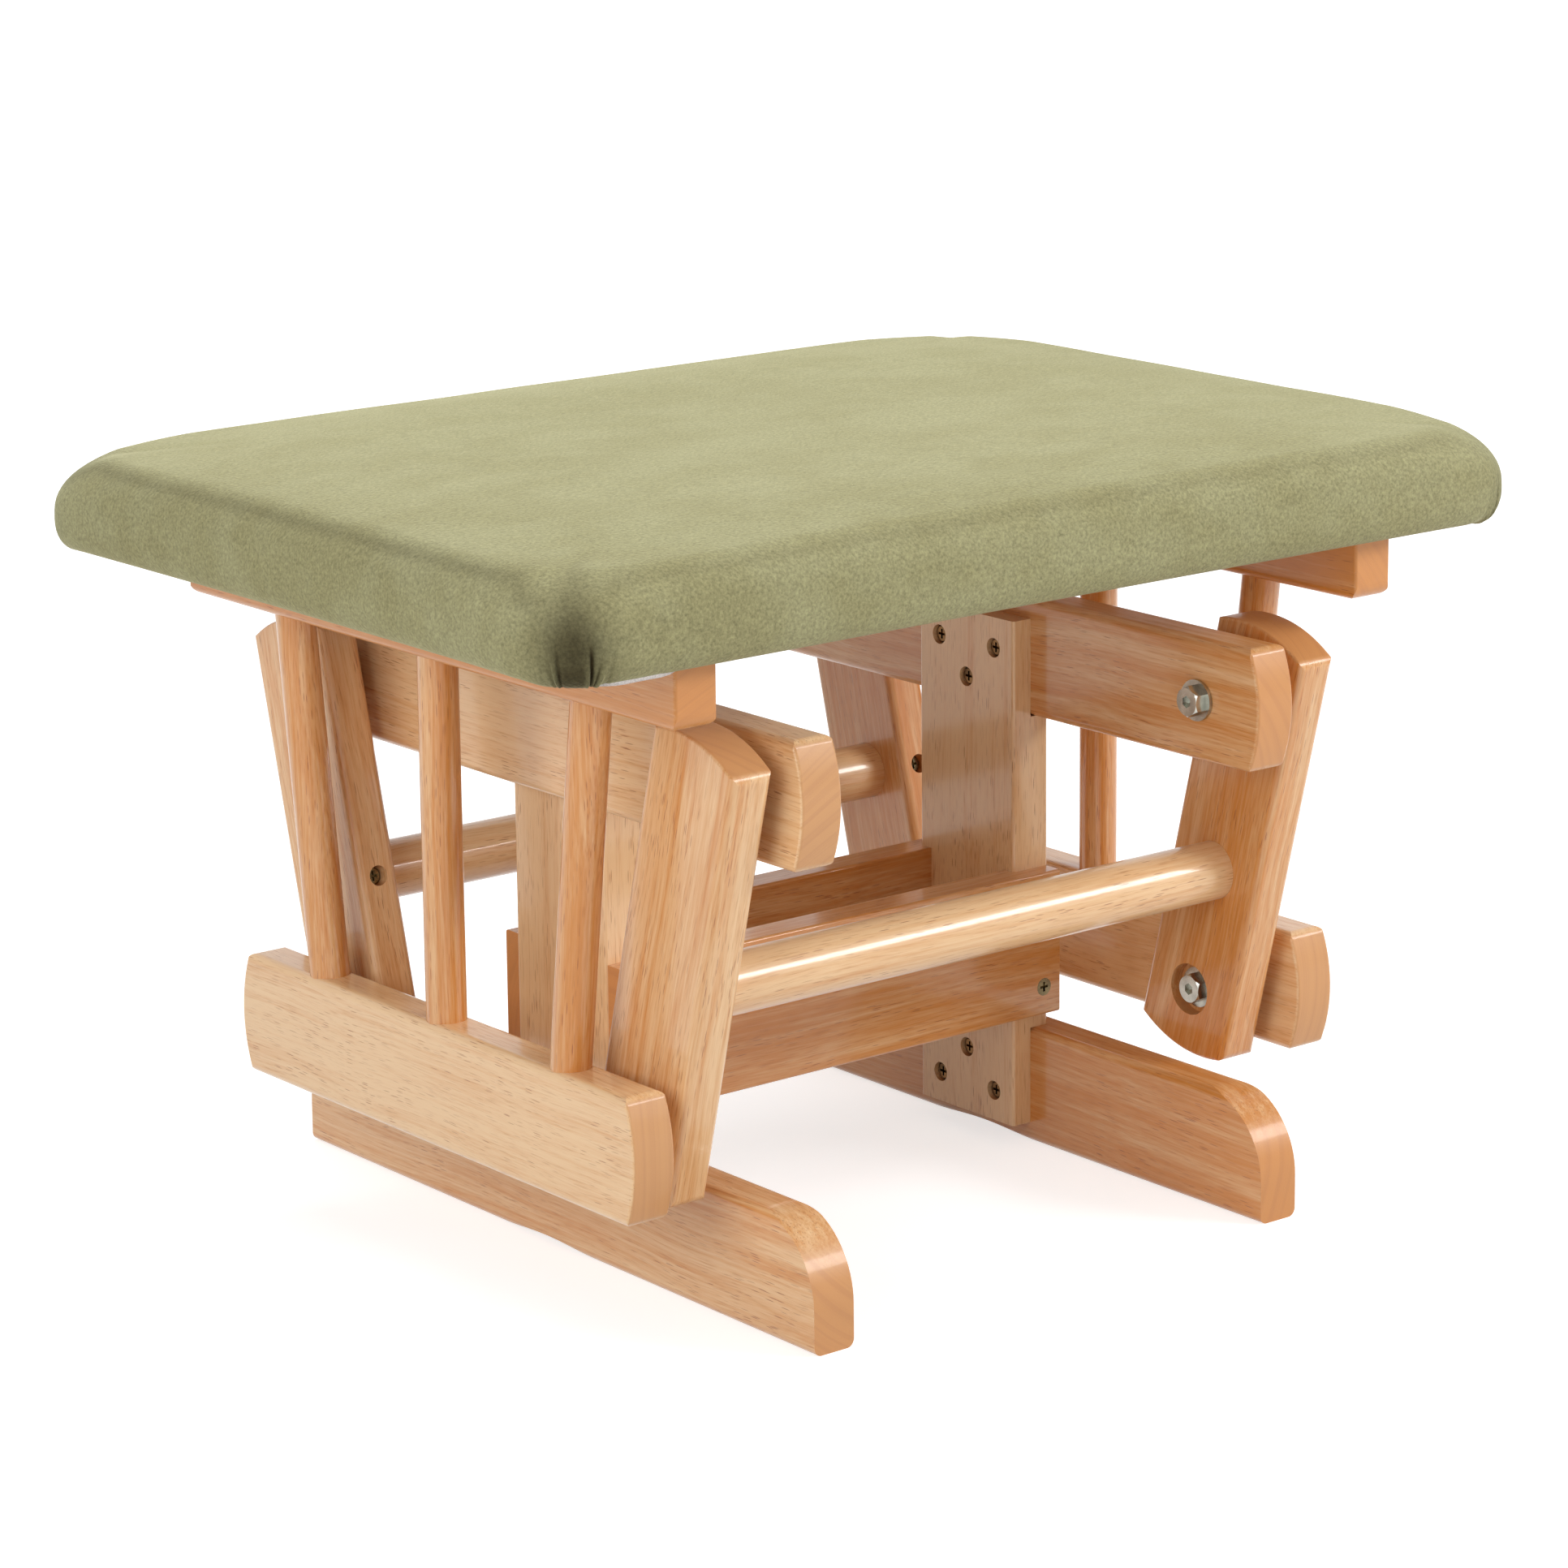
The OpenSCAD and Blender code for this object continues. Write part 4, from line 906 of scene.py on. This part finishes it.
class OTTOMAN_OT_staples(bpy.types.Operator):
    """Staple the lining to the seat board, a little way in from the cushion's edge"""
    bl_idname = "ottoman.staples"
    bl_label = "Drive the staples"

    def execute(self, context):
        shape = context.scene.ottoman_cushion
        hardware = context.scene.ottoman_hardware
        columns = cushion_columns(shape.corner_r, LINING_STEPS)
        rails = [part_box(f"upper_rail_{side}") for side in ("left", "right")]
        points = []
        faces = []
        last = None
        for column in columns:
            sag = shape.side_sag * abs(column.out_y)
            middle = column.at(STAPLE_INSET, COVER_LOW.z - 0.9 * MM - sag)
            spaced = last is None or (middle - last).length > hardware.staple_gap
            clear = all(abs(middle.x - (low[0] + high[0]) / 2) > RAIL_CLEARANCE for low, high in rails)
            if column.turn is not None or not spaced or not clear:
                continue
            last = middle
            along = Vector((-column.out_y, column.out_x, 0)) * hardware.staple_l / 2
            across = Vector((column.out_x, column.out_y, 0)) * 0.5 * MM
            start = len(points)
            for share, drop in ((-1, -0.6), (-0.92, 0), (0.92, 0), (1, -0.6)):
                for side in (-1, 1):
                    for layer in (0, 0.5):
                        down = Vector((0, 0, (drop + layer) * MM))
                        points.append(middle + along * share + across * side - down)
            for k in range(3):
                a, b, c, d = (start + 4 * k + i for i in range(4))
                faces.extend([
                    (a, a + 4, b + 4, b), (c, d, d + 4, c + 4),
                    (a, c, c + 4, a + 4), (b, b + 4, d + 4, d)])
            faces.append((start, start + 1, start + 3, start + 2))
            faces.append((start + 12, start + 14, start + 15, start + 13))
        piece = mesh_object("staples", points, faces, smooth=False)
        piece.data.materials.append(handled_material("staple wire", hardware.zinc, 0.80, 0.25))
        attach(piece, "seat")
        return {"FINISHED"}


# The wooden frame

def spindle_direction(node):
    """The line from the middle of a spindle's foot to the middle of its top."""
    points = np.array([v.co for v in NODES[node].data.vertices])
    order = points[:, 2].argsort()
    ends = len(points) // 4
    foot = points[order[:ends]].mean(0)
    top = points[order[-ends:]].mean(0)
    return Vector(top - foot).normalized()


def link_direction(end):
    """The line from a link's lower pivot to its upper one."""
    rise = PIVOTS["front_swing_hinge"] - PIVOTS["seat_hinge"]
    if end == "rear":
        rise.y = -rise.y
    return rise.normalized()


def grain_directions():
    """The direction of the grain in every wooden node."""
    grain = {}
    for side in ("left", "right"):
        for rail in ("floor_rail", "hanger_rail", "lower_rail", "upper_rail"):
            grain[f"{rail}_{side}"] = ALONG_Y
        grain[f"post_{side}"] = ALONG_Z
        for end in ("front", "rear"):
            grain[f"link_{side}_{end}"] = link_direction(end)
        for place in ("front", "middle", "rear"):
            node = f"spindle_{side}_{place}"
            grain[node] = spindle_direction(node)
    for end in ("front", "rear"):
        grain[f"stretcher_{end}"] = ALONG_X
        grain[f"cross_bar_{end}"] = ALONG_X
    return grain


# How deep each board's colour is, from pale to honey, partly painted light and shade; the first name that fits a
# node counts
# On top of each board's own tone, boards that lie in shade are set deeper and some that catch more light paler
BOARD_TONES_AND_SHADE = {
    "lower_rail_left": 0.20,
    "lower_rail": 0.28,
    "upper_rail": 0.95,
    "floor_rail_left": 0.45,
    "floor_rail": 0.78,
    "hanger_rail_left": 0.22,
    "hanger_rail": 0.62,
    "post": 0.12,
    "stretcher": 0.78,
    "link_left": 0.42,
    "link_right": 0.68,
    "cross_bar": 0.25,
    "spindle": 0.72,
}


class OTTOMAN_OT_boards(bpy.types.Operator):
    """Lacquer the wooden rails, posts, links, bars and spindles, each cut from its own board"""
    bl_idname = "ottoman.boards"
    bl_label = "Finish the boards"

    def execute(self, context):
        for number, (node, along) in enumerate(sorted(grain_directions().items())):
            # Each board's tone, partly painted light and shade
            tone = next(share for kind, share in BOARD_TONES_AND_SHADE.items() if node.startswith(kind))
            paint(node, wood_material(node, along, number + 1, tone))
        paint("seat_board", wood_material("seat_board", ALONG_X, number=40, tone=0.6))
        return {"FINISHED"}


class OTTOMAN_OT_hardware(bpy.types.Operator):
    """Plate the bolts, bronze the screws, give the lap joints' screws a darker colour and finish the inserts,
    bushes and spacers
    """
    bl_idname = "ottoman.hardware"
    bl_label = "Finish the hardware"

    def execute(self, context):
        look = context.scene.ottoman_hardware
        finishes = {
            "zinc_steel": handled_material("bright zinc", look.zinc, 0.82, 0.17),
            "bronzed_steel": handled_material("bronzed steel", look.bronze, 0.75, 0.22),
            "brass": handled_material("turned brass", look.brass, 0.80, 0.25),
            "black_nylon": handled_material("black nylon", look.nylon, 1.5, 0.42, metallic=0.0),
        }
        for row in frame["record"]["subparts"]:
            if row["material_slot"] in finishes:
                paint(row["node"], finishes[row["material_slot"]])
        # The screws in the lap joints get a darker colour
        darkened = handled_material("browned steel", look.brown, 0.70, 0.24)
        paint("hanger_rail_screws", darkened)
        paint("floor_rail_screws", darkened)
        return {"FINISHED"}


# The stage

FLOOR_REACH = 30
LIGHTS_AIM = (0, 0, 0.22)
CAMERA_AIM = Vector((0.0185, 0.0038, 0.2618))
CAMERA_SHIFT = (-0.0175, -0.0943)
SENSOR_W = 36


def softbox(name, place, size, power):
    lamp = bpy.data.lights.new(name, "AREA")
    lamp.shape = "RECTANGLE"
    lamp.size = size[0]
    lamp.size_y = size[1]
    lamp.energy = power
    holder = bpy.data.objects.new(name, lamp)
    holder.location = place
    holder.rotation_euler = (Vector(LIGHTS_AIM) - Vector(place)).to_track_quat("-Z", "Y").to_euler()
    bpy.context.scene.collection.objects.link(holder)


def seen_directly(tree):
    """1 for what the camera sees directly, in a mirror or through glass."""
    light = add_node(tree, "ShaderNodeLightPath").outputs
    seen = math_node(tree, "MAXIMUM", light["Is Camera Ray"], light["Is Glossy Ray"])
    return math_node(tree, "MAXIMUM", seen, light["Is Transmission Ray"])


class OTTOMAN_OT_stage(bpy.types.Operator):
    """Set up the pale floor, the soft studio light and the camera"""
    bl_idname = "ottoman.stage"
    bl_label = "Set up the stage"

    def execute(self, context):
        look = context.scene.ottoman_stage
        self.make_floor(look)
        self.make_light(look)
        self.make_camera(context, look)
        return {"FINISHED"}

    def make_floor(self, look):
        square = ((-1, -1), (1, -1), (1, 1), (-1, 1))
        corners = [(FLOOR_REACH * x, FLOOR_REACH * y, 0) for x, y in square]
        floor = mesh_object("studio_floor", corners, [(0, 1, 2, 3)])
        material, tree, shader = new_material("studio floor", Roughness=0.9, Specular_IOR_Level=0.0)
        shader.inputs["Base Color"].default_value = linear(look.floor)
        shader.inputs["Emission Color"].default_value = (1, 1, 1, 1)
        place = add_node(tree, "ShaderNodeTexCoord").outputs["Object"]
        far = ramp_node(tree, vector_node(tree, "LENGTH", place), 0.7, 3.0)
        lift = math_node(tree, "ADD", look.lift, math_node(tree, "MULTIPLY", far, 1 - look.lift))
        strength = math_node(tree, "MULTIPLY", lift, seen_directly(tree))
        tree.links.new(strength, shader.inputs["Emission Strength"])
        floor.data.materials.append(material)

    def make_light(self, look):
        world = bpy.data.worlds.new("studio")
        world.use_nodes = True
        bpy.context.scene.world = world
        tree = world.node_tree
        background = tree.nodes["Background"]
        background.inputs["Color"].default_value = (1, 1, 1, 1)
        strength = add_node(
            tree, "ShaderNodeMapRange",
            {"Value": seen_directly(tree), "To Min": look.ambient, "To Max": 1.0}).outputs[0]
        tree.links.new(strength, background.inputs["Strength"])
        softbox("front_softbox", (0.9, -2.4, 1.3), (2.2, 1.5), look.front_w)
        softbox("strip_light", (1.82, -1.9, 1.5), (1.3, 0.6), look.strip_w)
        softbox("left_softbox", (-2.4, -0.7, 1.1), (1.8, 1.4), look.left_w)
        softbox("top_softbox", (0.2, 0.5, 2.4), (2.0, 2.0), look.top_w)

    def make_camera(self, context, look):
        back = Vector((
            math.sin(look.azimuth) * math.cos(look.elevation),
            -math.cos(look.azimuth) * math.cos(look.elevation),
            math.sin(look.elevation)))
        camera = bpy.data.objects.new("camera", bpy.data.cameras.new("camera"))
        turn = back.to_track_quat("Z", "Y").to_matrix().to_4x4()
        place = Matrix.Translation(CAMERA_AIM + back * look.distance)
        camera.matrix_world = place @ turn @ Matrix.Rotation(look.roll, 4, "Z")
        camera.data.sensor_width = SENSOR_W
        camera.data.lens = look.lens
        camera.data.shift_x, camera.data.shift_y = CAMERA_SHIFT
        context.scene.collection.objects.link(camera)
        context.scene.camera = camera
        context.scene.view_settings.view_transform = "Standard"


class OTTOMAN_PT_panel(bpy.types.Panel):
    """Lists the steps that dress the ottoman"""
    bl_idname = "OTTOMAN_PT_panel"
    bl_label = "Glider ottoman"
    bl_space_type = "VIEW_3D"
    bl_region_type = "UI"
    bl_category = "Ottoman"

    def draw(self, context):
        for operator in OPERATORS:
            self.layout.operator(operator.bl_idname)
        for group, kind in SETTINGS.items():
            box = self.layout.box()
            for name in kind.__annotations__:
                box.prop(getattr(context.scene, group), name)


OPERATORS = (
    OTTOMAN_OT_boards,
    OTTOMAN_OT_hardware,
    OTTOMAN_OT_cushion,
    OTTOMAN_OT_lining,
    OTTOMAN_OT_staples,
    OTTOMAN_OT_stage,
)
CLASSES = (*SETTINGS.values(), *OPERATORS, OTTOMAN_PT_panel)


def register():
    for kind in CLASSES:
        bpy.utils.register_class(kind)
    for name, kind in SETTINGS.items():
        setattr(bpy.types.Scene, name, PointerProperty(type=kind))


def unregister():
    for name in SETTINGS:
        delattr(bpy.types.Scene, name)
    for kind in reversed(CLASSES):
        bpy.utils.unregister_class(kind)


def main():
    register()
    bpy.ops.ottoman.boards()
    bpy.ops.ottoman.hardware()
    bpy.ops.ottoman.cushion()
    bpy.ops.ottoman.lining()
    bpy.ops.ottoman.staples()
    bpy.ops.ottoman.stage()


if __name__ == "__main__":
    main()
